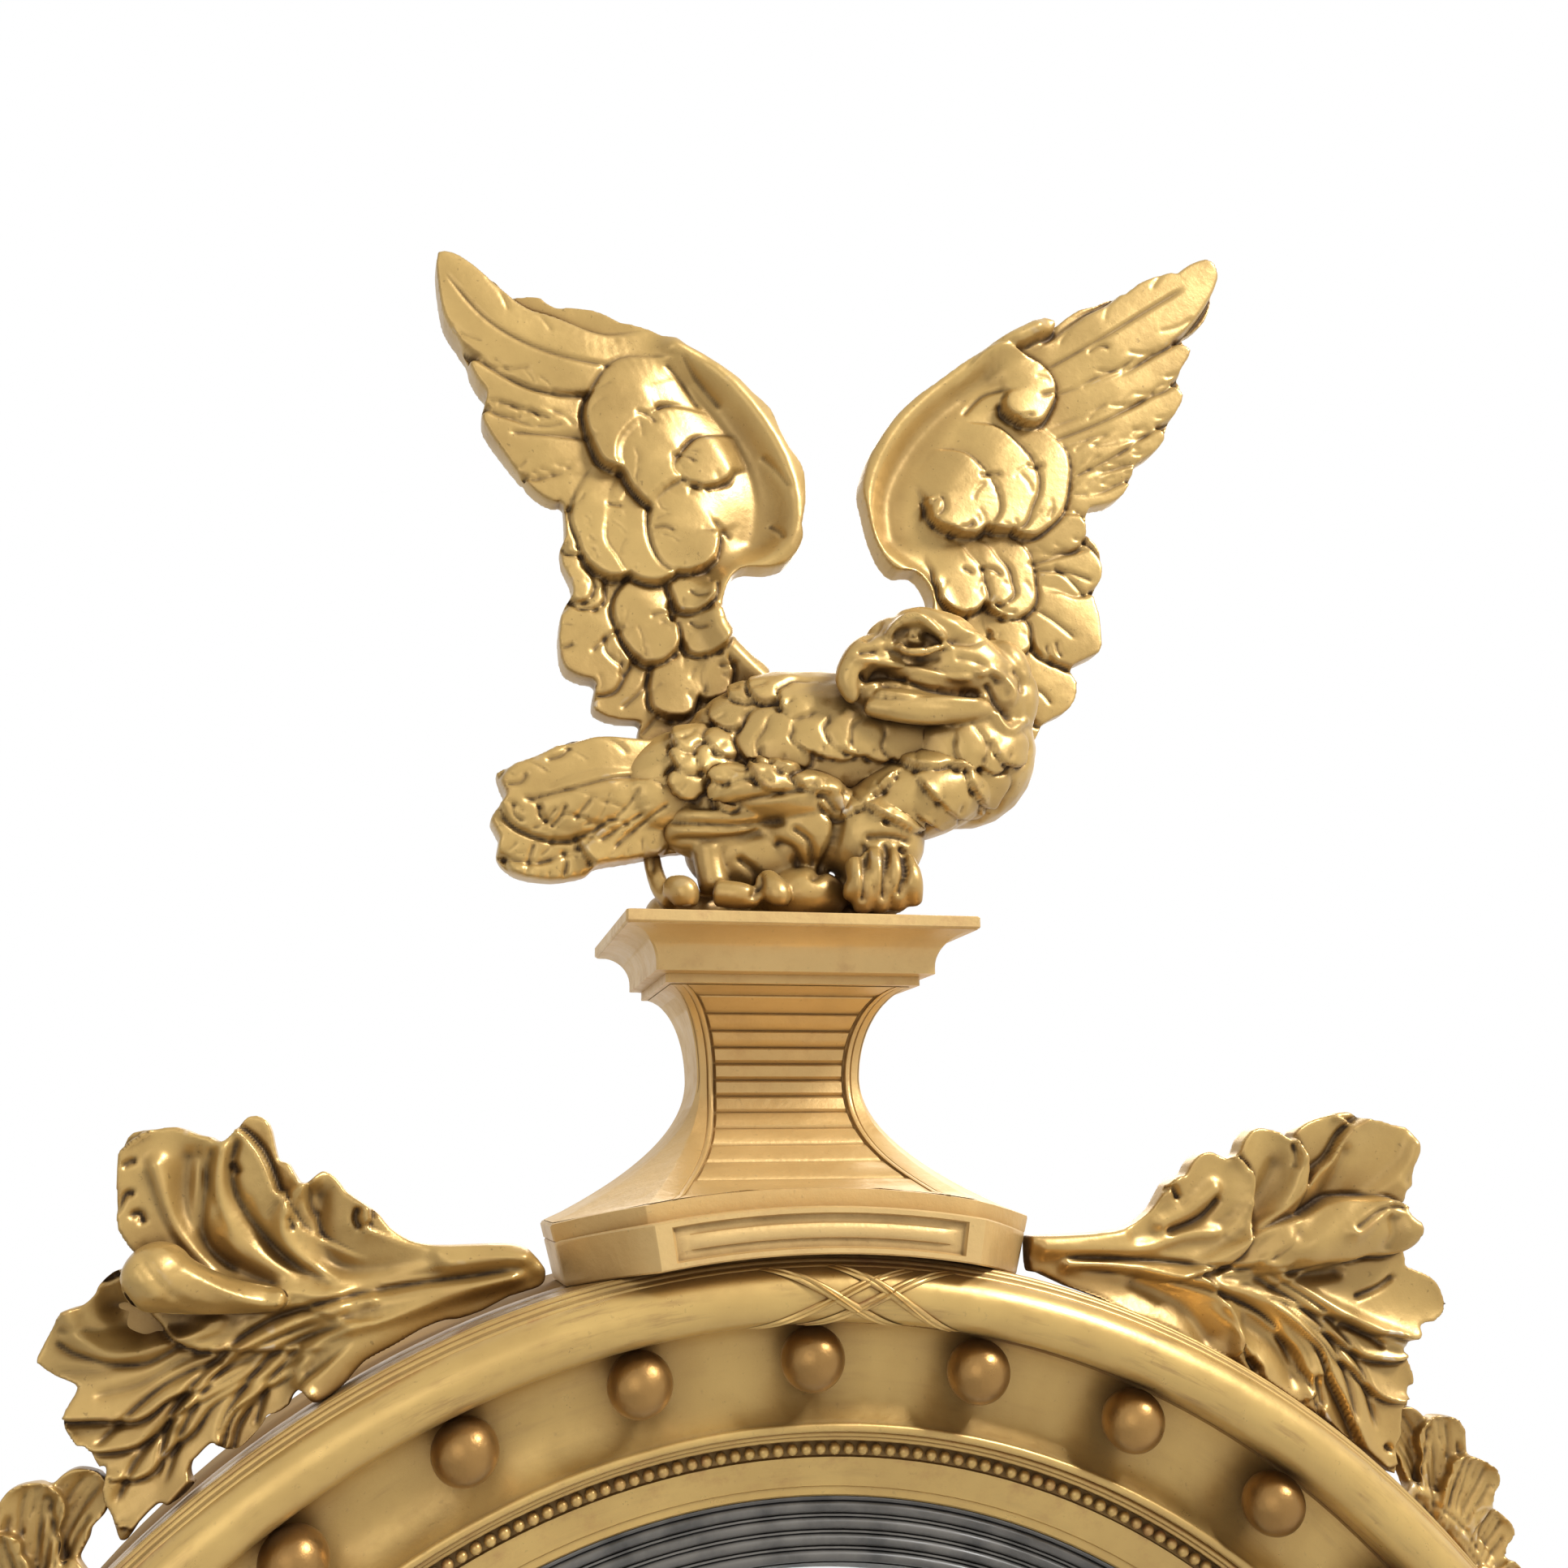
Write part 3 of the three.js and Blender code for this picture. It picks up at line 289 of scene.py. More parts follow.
def carved(mesh, feathers=(), strokes=(), read=None, facing=1, bulge=0.62, root=0.6, shadow=2.0):
    """Lays feathers on a mesh's front, the lowest first, and presses strokes into it.

    A feather is its spine of x and z, its width, the height of its root, its rise to the tip and its camber.
    Bulge is where it is widest, root how wide it starts, shadow how deep the groove round it is.
    A stroke is its points, its width and its depth, negative for a ridge. Narrow strokes run out at both ends.
    With read, places are seen ones on the plane at that depth and the carving follows the skin.
    """
    count = len(mesh.vertices)
    places, normals = np.empty(count * 3), np.empty(count * 3)
    mesh.vertices.foreach_get("co", places)
    mesh.vertices.foreach_get("normal", normals)
    places, normals = places.reshape(-1, 3), normals.reshape(-1, 3)
    toward = eased(-facing * normals[:, 1] * 2 - 0.1)
    face = places[:, [0, 2]]
    if read:
        eye = np.array([EYE.x, EYE.z])
        face = eye + (face - eye) * ((-EYE.y - read) / (places[:, 1] - EYE.y))[:, None]
    height = np.zeros(count)
    for spine, width, low, rise, camber in feathers:
        near, share, gap = beside(face, spine, width)
        wave = 1 + 0.05 * np.sin(share * chance.uniform(14, 22) + chance.uniform(0, 6))
        tip = np.sqrt(1 - np.clip((share - bulge) / (1 - bulge), 0, 1) ** 2)
        body = root + (1 - root) * np.sin(share / bulge * math.pi / 2)
        half = width / 2 * wave * np.where(share < bulge, body, tip)
        edge = half - gap
        inside = eased(edge / 1.3 + 0.5) * eased(share / 0.42)
        across = np.clip(gap / np.maximum(half, 0.1), 0, 1)
        own = low + rise * share**2 + camber * (1 - across**2)
        height[near] += (own - height[near]) * inside
        height[near] -= shadow * np.exp(-(((edge + 1.1) / 1.0) ** 2)) * eased((share - 0.25) / 0.3)
    for points, width, depth in strokes:
        near, share, gap = beside(face, points, 3 * width)
        narrow = width < NARROW and len(points) > 2
        ends = eased(np.minimum(share, 1 - share) / 0.16 + 0.15) if narrow else 1
        height[near] -= depth * np.exp(-((gap / width) ** 2)) * ends
    if read:
        places += normals * (height * toward)[:, None]
    else:
        places[:, 1] -= facing * height * toward
    mesh.vertices.foreach_set("co", places.ravel())
    bm = bmesh.new()
    bm.from_mesh(mesh)
    bmesh.ops.smooth_vert(bm, verts=bm.verts, factor=0.4, use_axis_x=True, use_axis_y=True, use_axis_z=True)
    bm.to_mesh(mesh)
    bm.free()
    return mesh


def lowered(feathers, share):
    """The same feathers in a flatter relief, for a piece's back."""
    return [(spine, width, low * share, rise * share, camber * share) for spine, width, low, rise, camber in feathers]


def dashes(lines):
    """Lines as short chiselled strokes."""
    return [(points, 1.0, 1.6) for points in lines]


def barbs(spine, width, count, reach, start=0.2, depth=0.9):
    """Short chiselled lines from a feather's middle to its edges."""
    spine = flat(spine)
    strokes = []
    for i in range(count):
        for side in (-1, 1):
            share = mix(start, 0.86, (i + 0.5 * chance.random()) / max(count - 1, 1))
            a, b = along(spine, share), along(spine, min(share + 0.14, 1))
            across = Vector((-(b - a).z, 0, (b - a).x)).normalized() * side * width / 2
            near, far = a + across * reach[0], b + across * reach[1] * min(1.0, 1.5 * (1 - share) + 0.35)
            middle = (near + far) / 2 + across * 0.08
            strokes.append(([(p.x, p.z) for p in (near, middle, far)], 0.8, depth * mix(0.6, 1.2, chance.random())))
    return strokes


def flutes(spine, width, line, depth):
    """Grooves that fan from a lobe's root to the notches of its edge."""
    spine = flat(spine)
    strokes = []
    for side, end in ((-0.62, 0.74), (-0.3, 0.92), (0.3, 0.92), (0.62, 0.74)):
        points = []
        for share in (0.12, end * 0.4, end * 0.75, end):
            a, b = along(spine, share), along(spine, min(share + 0.03, 1))
            across = Vector((-(b - a).z, 0, (b - a).x)).normalized() * side * width / 2
            points.append(a + across * ease(share / end) ** 0.7)
        strokes.append(([(p.x, p.z) for p in points], line, depth * mix(0.7, 1.1, chance.random())))
    return strokes


# ---------- Pieces ----------

def piece(name, source, material, replaced, body="mirror_frame", crease=40):
    """Shows a shape of millimetres as a finished piece of the mirror."""
    mesh = source
    if isinstance(source, bmesh.types.BMesh):
        bmesh.ops.remove_doubles(source, verts=source.verts, dist=0.005)
        bmesh.ops.recalc_face_normals(source, faces=source.faces)
        mesh = bpy.data.meshes.new(name)
        source.to_mesh(mesh)
        source.free()
    mesh.transform(Matrix.Scale(0.001, 4))
    name = "shown_" + name.replace(" ", "_")
    mesh.name = name
    mesh.shade_smooth()
    if crease:
        mesh.set_sharp_from_angle(angle=math.radians(crease))
    mesh.materials.clear()
    mesh.materials.append(material)
    shown = bpy.data.objects.new(name, mesh)
    bpy.context.scene.collection.objects.link(shown)
    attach(shown, body)
    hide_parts(replaced)


# ---------- Materials ----------

def add(tree, kind, values=None, **settings):
    node = tree.nodes.new(kind)
    for key, value in settings.items():
        setattr(node, key, value)
    for socket, value in (values or {}).items():
        if isinstance(value, bpy.types.NodeSocket):
            tree.links.new(value, node.inputs[socket])
        else:
            node.inputs[socket].default_value = value
    return node


def blended(tree, share, first, second, blend_type="MIX"):
    node = add(tree, "ShaderNodeMix", data_type="RGBA", blend_type=blend_type)
    for socket, value in zip((node.inputs[0], node.inputs[6], node.inputs[7]), (share, first, second)):
        if isinstance(value, bpy.types.NodeSocket):
            tree.links.new(value, socket)
        else:
            socket.default_value = value
    return node.outputs[2]


def spread(tree, value, low, high, to_low=0.0, to_high=1.0):
    ranges = {"Value": value, "From Min": low, "From Max": high, "To Min": to_low, "To Max": to_high}
    return add(tree, "ShaderNodeMapRange", ranges).outputs["Result"]


def times(tree, first, second, operation="MULTIPLY"):
    return add(tree, "ShaderNodeMath", {0: first, 1: second}, operation=operation).outputs[0]


def grain(tree, where, scale, detail=4.0, rough=0.55, squash=None):
    """Noise over the object's own coordinates, stretched where squash says."""
    if squash:
        where = add(tree, "ShaderNodeMapping", {"Vector": where, "Scale": squash}).outputs[0]
    values = {"Vector": where, "Scale": scale, "Detail": detail, "Roughness": rough}
    return add(tree, "ShaderNodeTexNoise", values).outputs["Fac"]


def shader_group(name, inputs, outputs):
    """An empty node group with named inputs and outputs."""
    tree = bpy.data.node_groups.new(name, "ShaderNodeTree")
    for label, kind, value in inputs:
        socket = tree.interface.new_socket(label, in_out="INPUT", socket_type=kind)
        socket.default_value = value
    for label, kind in outputs:
        tree.interface.new_socket(label, in_out="OUTPUT", socket_type=kind)
    return tree, tree.nodes.new("NodeGroupInput").outputs, tree.nodes.new("NodeGroupOutput").inputs


def gilding_group():
    """Old gold leaf: the deep colour painted into hollows as shade, a dark brown of dirt and painted shade in creases
    and recesses, red where the clay shows through.
    """
    tree, given, result = shader_group(
        "Old gilding",
        [
            ("Light", "NodeSocketColor", (0.8, 0.56, 0.22, 1)),
            ("Deep", "NodeSocketColor", (0.5, 0.28, 0.07, 1)),
            ("Dirt", "NodeSocketColor", (0.12, 0.07, 0.03, 1)),
            ("Clay", "NodeSocketColor", (0.32, 0.1, 0.05, 1)),
            ("Reach", "NodeSocketFloat", 0.012),
            ("Grime", "NodeSocketFloat", 0.7),
            ("Rub", "NodeSocketFloat", 0.3),
            ("Chips", "NodeSocketFloat", 0.0),
            ("Grain", "NodeSocketFloat", 0.2),
        ],
        [("Color", "NodeSocketColor"), ("Roughness", "NodeSocketFloat"), ("Normal", "NodeSocketVector")],
    )
    where = add(tree, "ShaderNodeTexCoord").outputs["Object"]
    shape = add(tree, "ShaderNodeNewGeometry").outputs["Pointiness"]
    hollow = add(tree, "ShaderNodeAmbientOcclusion", {"Distance": given["Reach"]}, samples=6).outputs["AO"]
    clouds = grain(tree, where, 22, 5)
    specks = grain(tree, where, 420, 3)
    patches = grain(tree, where, 90, 6, 0.7)

    # Painted shade: hollows that the ambient occlusion finds within the reach take the Deep colour, open surfaces
    # keep the Light colour.
    open_air = spread(tree, hollow, 0.35, 1.0)
    tone = blended(tree, open_air, given["Deep"], given["Light"])
    tone = blended(tree, spread(tree, clouds, 0.35, 0.75, 0.0, 0.45), tone, given["Deep"])
    ridge = spread(tree, shape, 0.51, 0.58)
    furrow = spread(tree, shape, 0.495, 0.44)
    rubbed = times(tree, times(tree, ridge, spread(tree, patches, 0.5, 0.68)), given["Rub"])
    tone = blended(tree, rubbed, tone, given["Clay"])
    # Dirt and painted shade together: creases found by pointiness and recesses found by ambient occlusion turn, in
    # patches, to the dark dirt colour.
    closed = spread(tree, hollow, 0.62, 0.12)
    dirt_and_shade_mask = times(tree, times(tree, closed, furrow, "MAXIMUM"), spread(tree, patches, 0.2, 0.6, 0.5, 1.0))
    tone = blended(tree, times(tree, dirt_and_shade_mask, given["Grime"]), tone, given["Dirt"])
    spots = times(tree, spread(tree, specks, 0.66, 0.72), given["Grime"])
    tone = blended(tree, times(tree, spots, 0.35), tone, given["Dirt"])
    chipped = times(tree, times(tree, ridge, spread(tree, grain(tree, where, 55, 2), 0.66, 0.69)), given["Chips"])
    tone = blended(tree, chipped, tone, (0.78, 0.74, 0.66, 1))
    tree.links.new(tone, result["Color"])

    gloss = spread(tree, patches, 0.3, 0.75, 0.26, 0.46)
    gloss = times(tree, gloss, times(tree, dirt_and_shade_mask, 0.35), "ADD")
    tree.links.new(gloss, result["Roughness"])

    relief = times(tree, grain(tree, where, 160, 4), times(tree, specks, 0.4), "ADD")
    bump = add(tree, "ShaderNodeBump", {"Height": relief, "Strength": given["Grain"], "Distance": 0.0008})
    tree.links.new(bump.outputs[0], result["Normal"])
    return tree


def material(name):
    made = bpy.data.materials.new(name)
    made.use_nodes = True
    return made, made.node_tree, made.node_tree.nodes["Principled BSDF"]


def streak_group():
    """Brushed streaks that run round the frame, strongest on its outer round."""
    tree, given, result = shader_group(
        "Streaks round the frame", [("Inner edge", "NodeSocketFloat", 0.338)], [("Mask", "NodeSocketFloat")]
    )
    where = add(tree, "ShaderNodeTexCoord").outputs["Object"]
    split = add(tree, "ShaderNodeSeparateXYZ", {0: where}).outputs
    level = add(tree, "ShaderNodeCombineXYZ", {0: split[0], 1: 0.0, 2: split[2]}).outputs[0]
    radius = add(tree, "ShaderNodeVectorMath", {0: level}, operation="LENGTH").outputs["Value"]
    angle = times(tree, split[0], split[2], "ARCTAN2")
    stretched = {0: times(tree, radius, 9.0), 1: times(tree, split[1], 9.0), 2: times(tree, angle, 0.35)}
    round_the_ring = add(tree, "ShaderNodeCombineXYZ", stretched).outputs[0]
    lines = spread(tree, grain(tree, round_the_ring, 26, 5, 0.65), 0.5, 0.68)
    broken = spread(tree, grain(tree, where, 30, 4), 0.42, 0.62)
    outer = spread(tree, times(tree, radius, given["Inner edge"], "SUBTRACT"), 0.0, 0.006, 0.25, 1.0)
    tree.links.new(times(tree, times(tree, lines, broken), outer), result["Mask"])
    return tree


def gilded(name, group, metallic=0.75, roughness=0.0, streaks=False, **values):
    made, tree, surface = material(name)
    old = add(tree, "ShaderNodeGroup", node_tree=group)
    for label, value in values.items():
        old.inputs[label].default_value = value
    tone = old.outputs["Color"]
    if streaks:
        lines = add(tree, "ShaderNodeGroup", node_tree=old_streaks).outputs["Mask"]
        tone = blended(tree, times(tree, lines, 0.6), tone, (0.2, 0.085, 0.04, 1))
    tree.links.new(tone, surface.inputs["Base Color"])
    gloss = times(tree, old.outputs["Roughness"], roughness, "ADD")
    tree.links.new(gloss, surface.inputs["Roughness"])
    tree.links.new(old.outputs["Normal"], surface.inputs["Normal"])
    surface.inputs["Metallic"].default_value = metallic
    return made


def wooden(name, light, dark, stretch, roughness):
    """Timber whose grain runs along the smallest number of stretch."""
    made, tree, surface = material(name)
    where = add(tree, "ShaderNodeTexCoord").outputs["Object"]
    lines = grain(tree, where, 3.0, 6, 0.6, stretch)
    fine = grain(tree, where, 14.0, 3, 0.6, stretch)
    stains = grain(tree, where, 6.0, 4)
    tone = blended(tree, spread(tree, lines, 0.35, 0.65), light, dark)
    tone = blended(tree, spread(tree, fine, 0.4, 0.7, 0.0, 0.35), tone, dark)
    tone = blended(tree, spread(tree, stains, 0.5, 0.8, 0.0, 0.5), tone, (0.11, 0.08, 0.055, 1))
    tree.links.new(tone, surface.inputs["Base Color"])
    surface.inputs["Roughness"].default_value = roughness
    bump = add(tree, "ShaderNodeBump", {"Height": fine, "Strength": 0.3, "Distance": 0.001})
    tree.links.new(bump.outputs[0], surface.inputs["Normal"])
    return made


def metal(name, light, dark, roughness):
    made, tree, surface = material(name)
    where = add(tree, "ShaderNodeTexCoord").outputs["Object"]
    tarnish = grain(tree, where, 120, 5)
    tree.links.new(blended(tree, spread(tree, tarnish, 0.35, 0.7), light, dark), surface.inputs["Base Color"])
    tree.links.new(spread(tree, tarnish, 0.3, 0.7, roughness, roughness + 0.2), surface.inputs["Roughness"])
    surface.inputs["Metallic"].default_value = 0.9
    return made


def black_wax():
    """Ebonised wood, rubbed pale along the edges of its reeds."""
    made, tree, surface = material("Ebonised wood")
    where = add(tree, "ShaderNodeTexCoord").outputs["Object"]
    shape = add(tree, "ShaderNodeNewGeometry").outputs["Pointiness"]
    dust = grain(tree, where, 60, 5)
    tone = blended(tree, spread(tree, dust, 0.35, 0.75), (0.022, 0.021, 0.02, 1), (0.06, 0.056, 0.052, 1))
    edge = times(tree, spread(tree, shape, 0.505, 0.56), spread(tree, dust, 0.3, 0.6, 0.3, 1.0))
    tone = blended(tree, times(tree, edge, 0.5), tone, (0.36, 0.33, 0.28, 1))
    tree.links.new(tone, surface.inputs["Base Color"])
    tree.links.new(spread(tree, dust, 0.3, 0.7, 0.3, 0.48), surface.inputs["Roughness"])
    return made


def silvering():
    """Old silvered glass, with a few grey specks towards its edge."""
    made, tree, surface = material("Silvered glass")
    where = add(tree, "ShaderNodeTexCoord").outputs["Object"]
    off = add(tree, "ShaderNodeVectorMath", {0: where, 1: (1, 0, 1)}, operation="MULTIPLY").outputs[0]
    radius = add(tree, "ShaderNodeVectorMath", {0: off}, operation="LENGTH").outputs["Value"]
    rim = spread(tree, radius, 0.19, 0.25)
    foxing = times(tree, spread(tree, grain(tree, where, 130, 6, 0.7), 0.6, 0.7), rim)
    tone = blended(tree, times(tree, foxing, 0.7), (0.86, 0.88, 0.87, 1), (0.22, 0.21, 0.19, 1))
    tree.links.new(tone, surface.inputs["Base Color"])
    tree.links.new(spread(tree, foxing, 0.0, 1.0, 0.02, 0.4), surface.inputs["Roughness"])
    surface.inputs["Metallic"].default_value = 1.0
    return made


old_gilding = gilding_group()
old_streaks = streak_group()
# Each gilding also paints shade: its Deep colour into hollows within its reach, and its dark dirt colour into creases
# and recesses, as strongly as its grime amount says.
burnished = gilded(
    "Burnished gold", old_gilding, metallic=0.42, Light=(0.6, 0.395, 0.13, 1), Deep=(0.24, 0.125, 0.03, 1),
    Dirt=(0.04, 0.02, 0.007, 1), Reach=0.016, Grime=0.95, Chips=0.5,
)
turned_gold = gilded(
    "Gold of the turned mouldings", old_gilding, metallic=0.5, streaks=True, Light=(0.66, 0.44, 0.145, 1),
    Deep=(0.38, 0.22, 0.065, 1), Reach=0.02, Grime=0.5, Rub=0.5, Grain=0.12,
)
ball_gold = gilded(
    "Gold of the balls", old_gilding, Light=(0.36, 0.2, 0.06, 1), Deep=(0.17, 0.085, 0.023, 1),
    Grime=0.5, Rub=0.1, Grain=0.3,
)
matte = gilded(
    "Matte gold", old_gilding, metallic=0.4, roughness=0.1, Light=(0.74, 0.5, 0.2, 1), Deep=(0.5, 0.31, 0.11, 1),
    Reach=0.008, Grime=0.5, Rub=0.25, Grain=0.35,
)
ebonised = black_wax()
silvered = silvering()
pine = wooden("Raw pine boards", (0.5, 0.34, 0.18, 1), (0.3, 0.17, 0.08, 1), (9, 9, 0.5), 0.75)
ochre = wooden("Ochre wash on pine", (0.6, 0.36, 0.1, 1), (0.44, 0.25, 0.07, 1), (3, 3, 3), 0.8)
brass = metal("Old brass", (0.55, 0.4, 0.17, 1), (0.24, 0.16, 0.07, 1), 0.32)
iron = metal("Dark iron", (0.3, 0.27, 0.24, 1), (0.1, 0.07, 0.05, 1), 0.42)


# ---------- Turned frame ----------

def hollow_moulding():
    radius, depth, section = HOLLOW
    bm = bmesh.new()
    lip = arc(300.9, 111.2, 1.9, 165, 20, 7)
    spun(bm, [
        (FRAME_RADIUS, 80.3), (FRAME_RADIUS, 96.0), (FRAME_RADIUS - 1.2, 97.0), (FRAME_RADIUS, 98.0),
        (FRAME_RADIUS, 110.4), (340.2, 110.6), *arc(radius, depth, section, -43.5, -139.5, 22), *reversed(lip),
        (299.1, 104.0), (300.0, 80.3),
    ])
    piece("hollow moulding", bm, turned_gold, "hollow_moulding")


def strap(bm, start, end, left, right, lift):
    """A band of ribbon laid over the half-round, from one side of its section to the other."""
    ring, depth, section = TORUS

    def place(u, v):
        swing = math.radians(mix(left, right, v))
        place_round = mix(start, end, v) + (2 * u - 1) * 4.2
        turn = place_round / ring
        ripple = 0.5 * math.cos(3 * math.pi * (2 * u - 1)) * math.sin(math.pi * u)
        rise = lift + 1.3 * math.sin(math.pi * u) ** 0.6 + ripple
        reach = section + rise * math.sin(math.pi * min(max(v, 0.03), 0.97)) ** 0.4
        radius = ring + reach * math.cos(swing)
        return Vector((radius * math.sin(turn), -depth - reach * math.sin(swing), radius * math.cos(turn)))

    slab(bm, sheet(bm, 8, 20, place), Vector((0, 1.6, 0)))


def outer_torus():
    ring, depth, section = TORUS
    bm = bmesh.new()
    spun(bm, [
        (FRAME_RADIUS, 111.2), (FRAME_RADIUS, 116.0), (366.1, 116.8), (366.1, 117.8),
        *arc(365.6, 119.2, 1.3, -30, 100, 5), (364.7, 121.6), *arc(364.2, 123.2, 1.3, -30, 100, 5), (363.0, 125.6),
        *arc(362.2, 126.8, 1.2, -30, 110, 5),
        *arc(ring, depth, section, 20, 180, 20), (341.0, 111.2),
    ])
    for quarter in range(4):
        turn = Matrix.Rotation(quarter * math.pi / 2 + math.radians(1.8), 4, "Y")
        tie = bmesh.new()
        strap(tie, -36, 22, 170, 30, 0.3)
        strap(tie, -16, 40, 170, 20, 0.5)
        strap(tie, -30, 20, 25, 165, 0.9)
        strap(tie, -4, 44, 25, 165, 0.7)
        bmesh.ops.transform(tie, verts=tie.verts, matrix=turn)
        joined(bm, tie)
    piece("outer torus with its ribbon ties", bm, turned_gold, "outer_torus")


def beaded_slip():
    bm = bmesh.new()
    spun(bm, [
        (299.0, 80.3), (254.3, 80.3), (254.3, 83.3), (SIGHT, 83.3), (SIGHT, 95.2), (273.7, 96.0), (276.6, 96.4),
        (277.1, 97.3), (278.0, 97.6), (288.6, 102.8), (289.2, 101.4), (294.8, 101.4), (295.2, 103.6),
        *arc(296.2, 104.9, 1.2, 190, 60, 5), *arc(298.0, 106.6, 1.3, 200, 30, 5), (299.0, 106.0),
    ])
    piece("beaded slip", bm, turned_gold, "beaded_slip")


def pearls():
    bm = bmesh.new()
    count = 320
    for i in range(count):
        angle = 2 * math.pi * i / count
        centre = Vector((PEARL_RING * math.sin(angle), -104.0, PEARL_RING * math.cos(angle)))
        size = mix(0.94, 1.04, chance.random())
        turn = Matrix.Rotation(math.pi / 2, 4, "X")
        bead = Matrix.Translation(centre) @ Matrix.Rotation(angle, 4, "Y") @ Matrix.Scale(2.5 * size, 4) @ turn
        bmesh.ops.create_uvsphere(bm, u_segments=10, v_segments=7, radius=1, matrix=bead)
    piece("pearl string", bm, turned_gold, "pearl_string", crease=0)


def reeded_slip():
    bm = bmesh.new()
    reeds = [(248.2, 93.4), (248.2, 94.4)]
    for i in range(4):
        start = 248.4 + i * 6.0
        reed = [(start + 2.3 - 2.2 * math.cos(a), 93.8 + 2.0 * math.sin(a)) for a in np.linspace(0.1, 3.04, 7)]
        reeds += [(start, 93.6), *reed, (start + 4.7, 93.6), (start + 5.0, 94.7), (start + 5.7, 94.7)]
    spun(bm, [(272.7, 83.6), (254.0, 83.6), (248.2, 85.4), *reeds, (272.7, 94.9)])
    piece("reeded slip", bm, ebonised, "reeded_slip", crease=50)


def mirror_plate():
    sphere = (GLASS_RADIUS**2 + GLASS_BULGE**2) / (2 * GLASS_BULGE)
    bm = bmesh.new()
    radii = [GLASS_RADIUS * math.sin(i / 28 * math.pi / 2) for i in range(29)]
    dome = [(r, 80.3 + math.sqrt(sphere**2 - r**2) - sphere + GLASS_BULGE) for r in radii]
    spun(bm, dome + [(r, depth + 3.0) for r, depth in reversed(dome)], closed=False)
    piece("mirror plate", bm, silvered, "mirror_plate")


def cut(mesh, tools):
    """Cuts a bmesh of tools out of a mesh."""
    bmesh.ops.recalc_face_normals(tools, faces=tools.faces)
    blade = bpy.data.objects.new("tool", bpy.data.meshes.new("tool"))
    tools.to_mesh(blade.data)
    tools.free()
    body = bpy.data.objects.new("body", mesh)
    for part in (blade, body):
        bpy.context.scene.collection.objects.link(part)
    knife = body.modifiers.new("Cut", "BOOLEAN")
    knife.object = blade
    knife.solver = "EXACT"
    knife.use_self = True
    whole = bpy.data.meshes.new_from_object(body.evaluated_get(bpy.context.evaluated_depsgraph_get()))
    for part in (blade, body):
        bpy.data.objects.remove(part)
    return whole


def brick(bm, low, high):
    """A block between two corners given as x, depth, z."""
    size = Vector((high[0] - low[0], high[1] - low[1], high[2] - low[2]))
    middle = Vector(((low[0] + high[0]) / 2, -(low[1] + high[1]) / 2, (low[2] + high[2]) / 2))
    bmesh.ops.create_cube(bm, size=1, matrix=Matrix.Translation(middle) @ Matrix.Diagonal((*size, 1)))


def drum(bm, centre, radius, start, end, sides=32):
    """A short round bar from one depth to another."""
    turn = Matrix.Rotation(math.pi / 2, 4, "X")
    matrix = Matrix.Translation((centre[0], -(start + end) / 2, centre[1])) @ turn
    return bmesh.ops.create_cone(
        bm, cap_ends=True, segments=sides, radius1=radius, radius2=radius, depth=end - start, matrix=matrix
    )["verts"]


BOARD_SCREWS = [(320 * math.sin(a), 320 * math.cos(a)) for a in (math.pi / 4 + i * math.pi / 2 for i in range(4))]
HANGER_SCREWS = [(-23.0, 351.5), (23.0, 351.5)]


def rear_rim():
    bm = bmesh.new()
    spun(bm, softened([
        (FRAME_RADIUS, 0), (325.3, 0), (325.3, 9.3), (317, 9.3), (317, 60), (244, 60),
        (244, RIM_DEPTH), (FRAME_RADIUS, RIM_DEPTH),
    ], 1.2))
    bmesh.ops.recalc_face_normals(bm, faces=bm.faces)
    ring = bpy.data.meshes.new("rear rim")
    bm.to_mesh(ring)
    bm.free()
    tools = bmesh.new()
    brick(tools, (-30, -2, 341.5), (30, 9.1, 361.5))
    brick(tools, (-14.8, -2, 327.7), (14.8, 9.1, 343))
    for spot in BOARD_SCREWS:
        drum(tools, spot, 2.2, -3, 16.3, 16)
    for spot in HANGER_SCREWS:
        drum(tools, spot, 2.2, 0, 23.5, 16)
    piece("rear rim", cut(ring, tools), ochre, "rear_rim")


def backboard():
    """Four pine boards with their edges eased, cut to a round."""
    bm = bmesh.new()
    edges = [-326, -150, -8, 158, 326]
    for left, right in zip(edges, edges[1:]):
        board = bmesh.new()
        drum(board, (0, 0), 324.9, 0.2, 9.0, 160)
        for side, x in ((1, left + 0.3), (-1, right - 0.3)):
            sliced(board, x, side)
        sharp = [e for e in board.edges if e.is_manifold and e.calc_face_angle() > 1.0]
        bmesh.ops.bevel(board, geom=sharp, offset=1.0, segments=2, profile=0.5, affect="EDGES", material=-1)
        joined(bm, board)
    bmesh.ops.recalc_face_normals(bm, faces=bm.faces)
    boards = bpy.data.meshes.new("backboard")
    bm.to_mesh(boards)
    bm.free()
    tools = bmesh.new()
    for spot in BOARD_SCREWS:
        drum(tools, spot, 4.3, -2, 1.7)
        drum(tools, spot, 2.2, -2, 12, 16)
    piece("backboard", cut(boards, tools), pine, "backboard", crease=30)


def sliced(bm, x, side):
    """Cuts away what lies beyond x, to the left where side is 1, and closes the cut."""
    made = bmesh.ops.bisect_plane(
        bm, geom=bm.verts[:] + bm.edges[:] + bm.faces[:], plane_co=(x, 0, 0), plane_no=(-side, 0, 0), clear_outer=True
    )["geom_cut"]
    bmesh.ops.holes_fill(bm, edges=[item for item in made if isinstance(item, bmesh.types.BMEdge)], sides=0)


def joined(bm, part):
    """Adds one bmesh to another."""
    mesh = bpy.data.meshes.new("part")
    part.to_mesh(mesh)
    part.free()
    bm.from_mesh(mesh)
    bpy.data.meshes.remove(mesh)


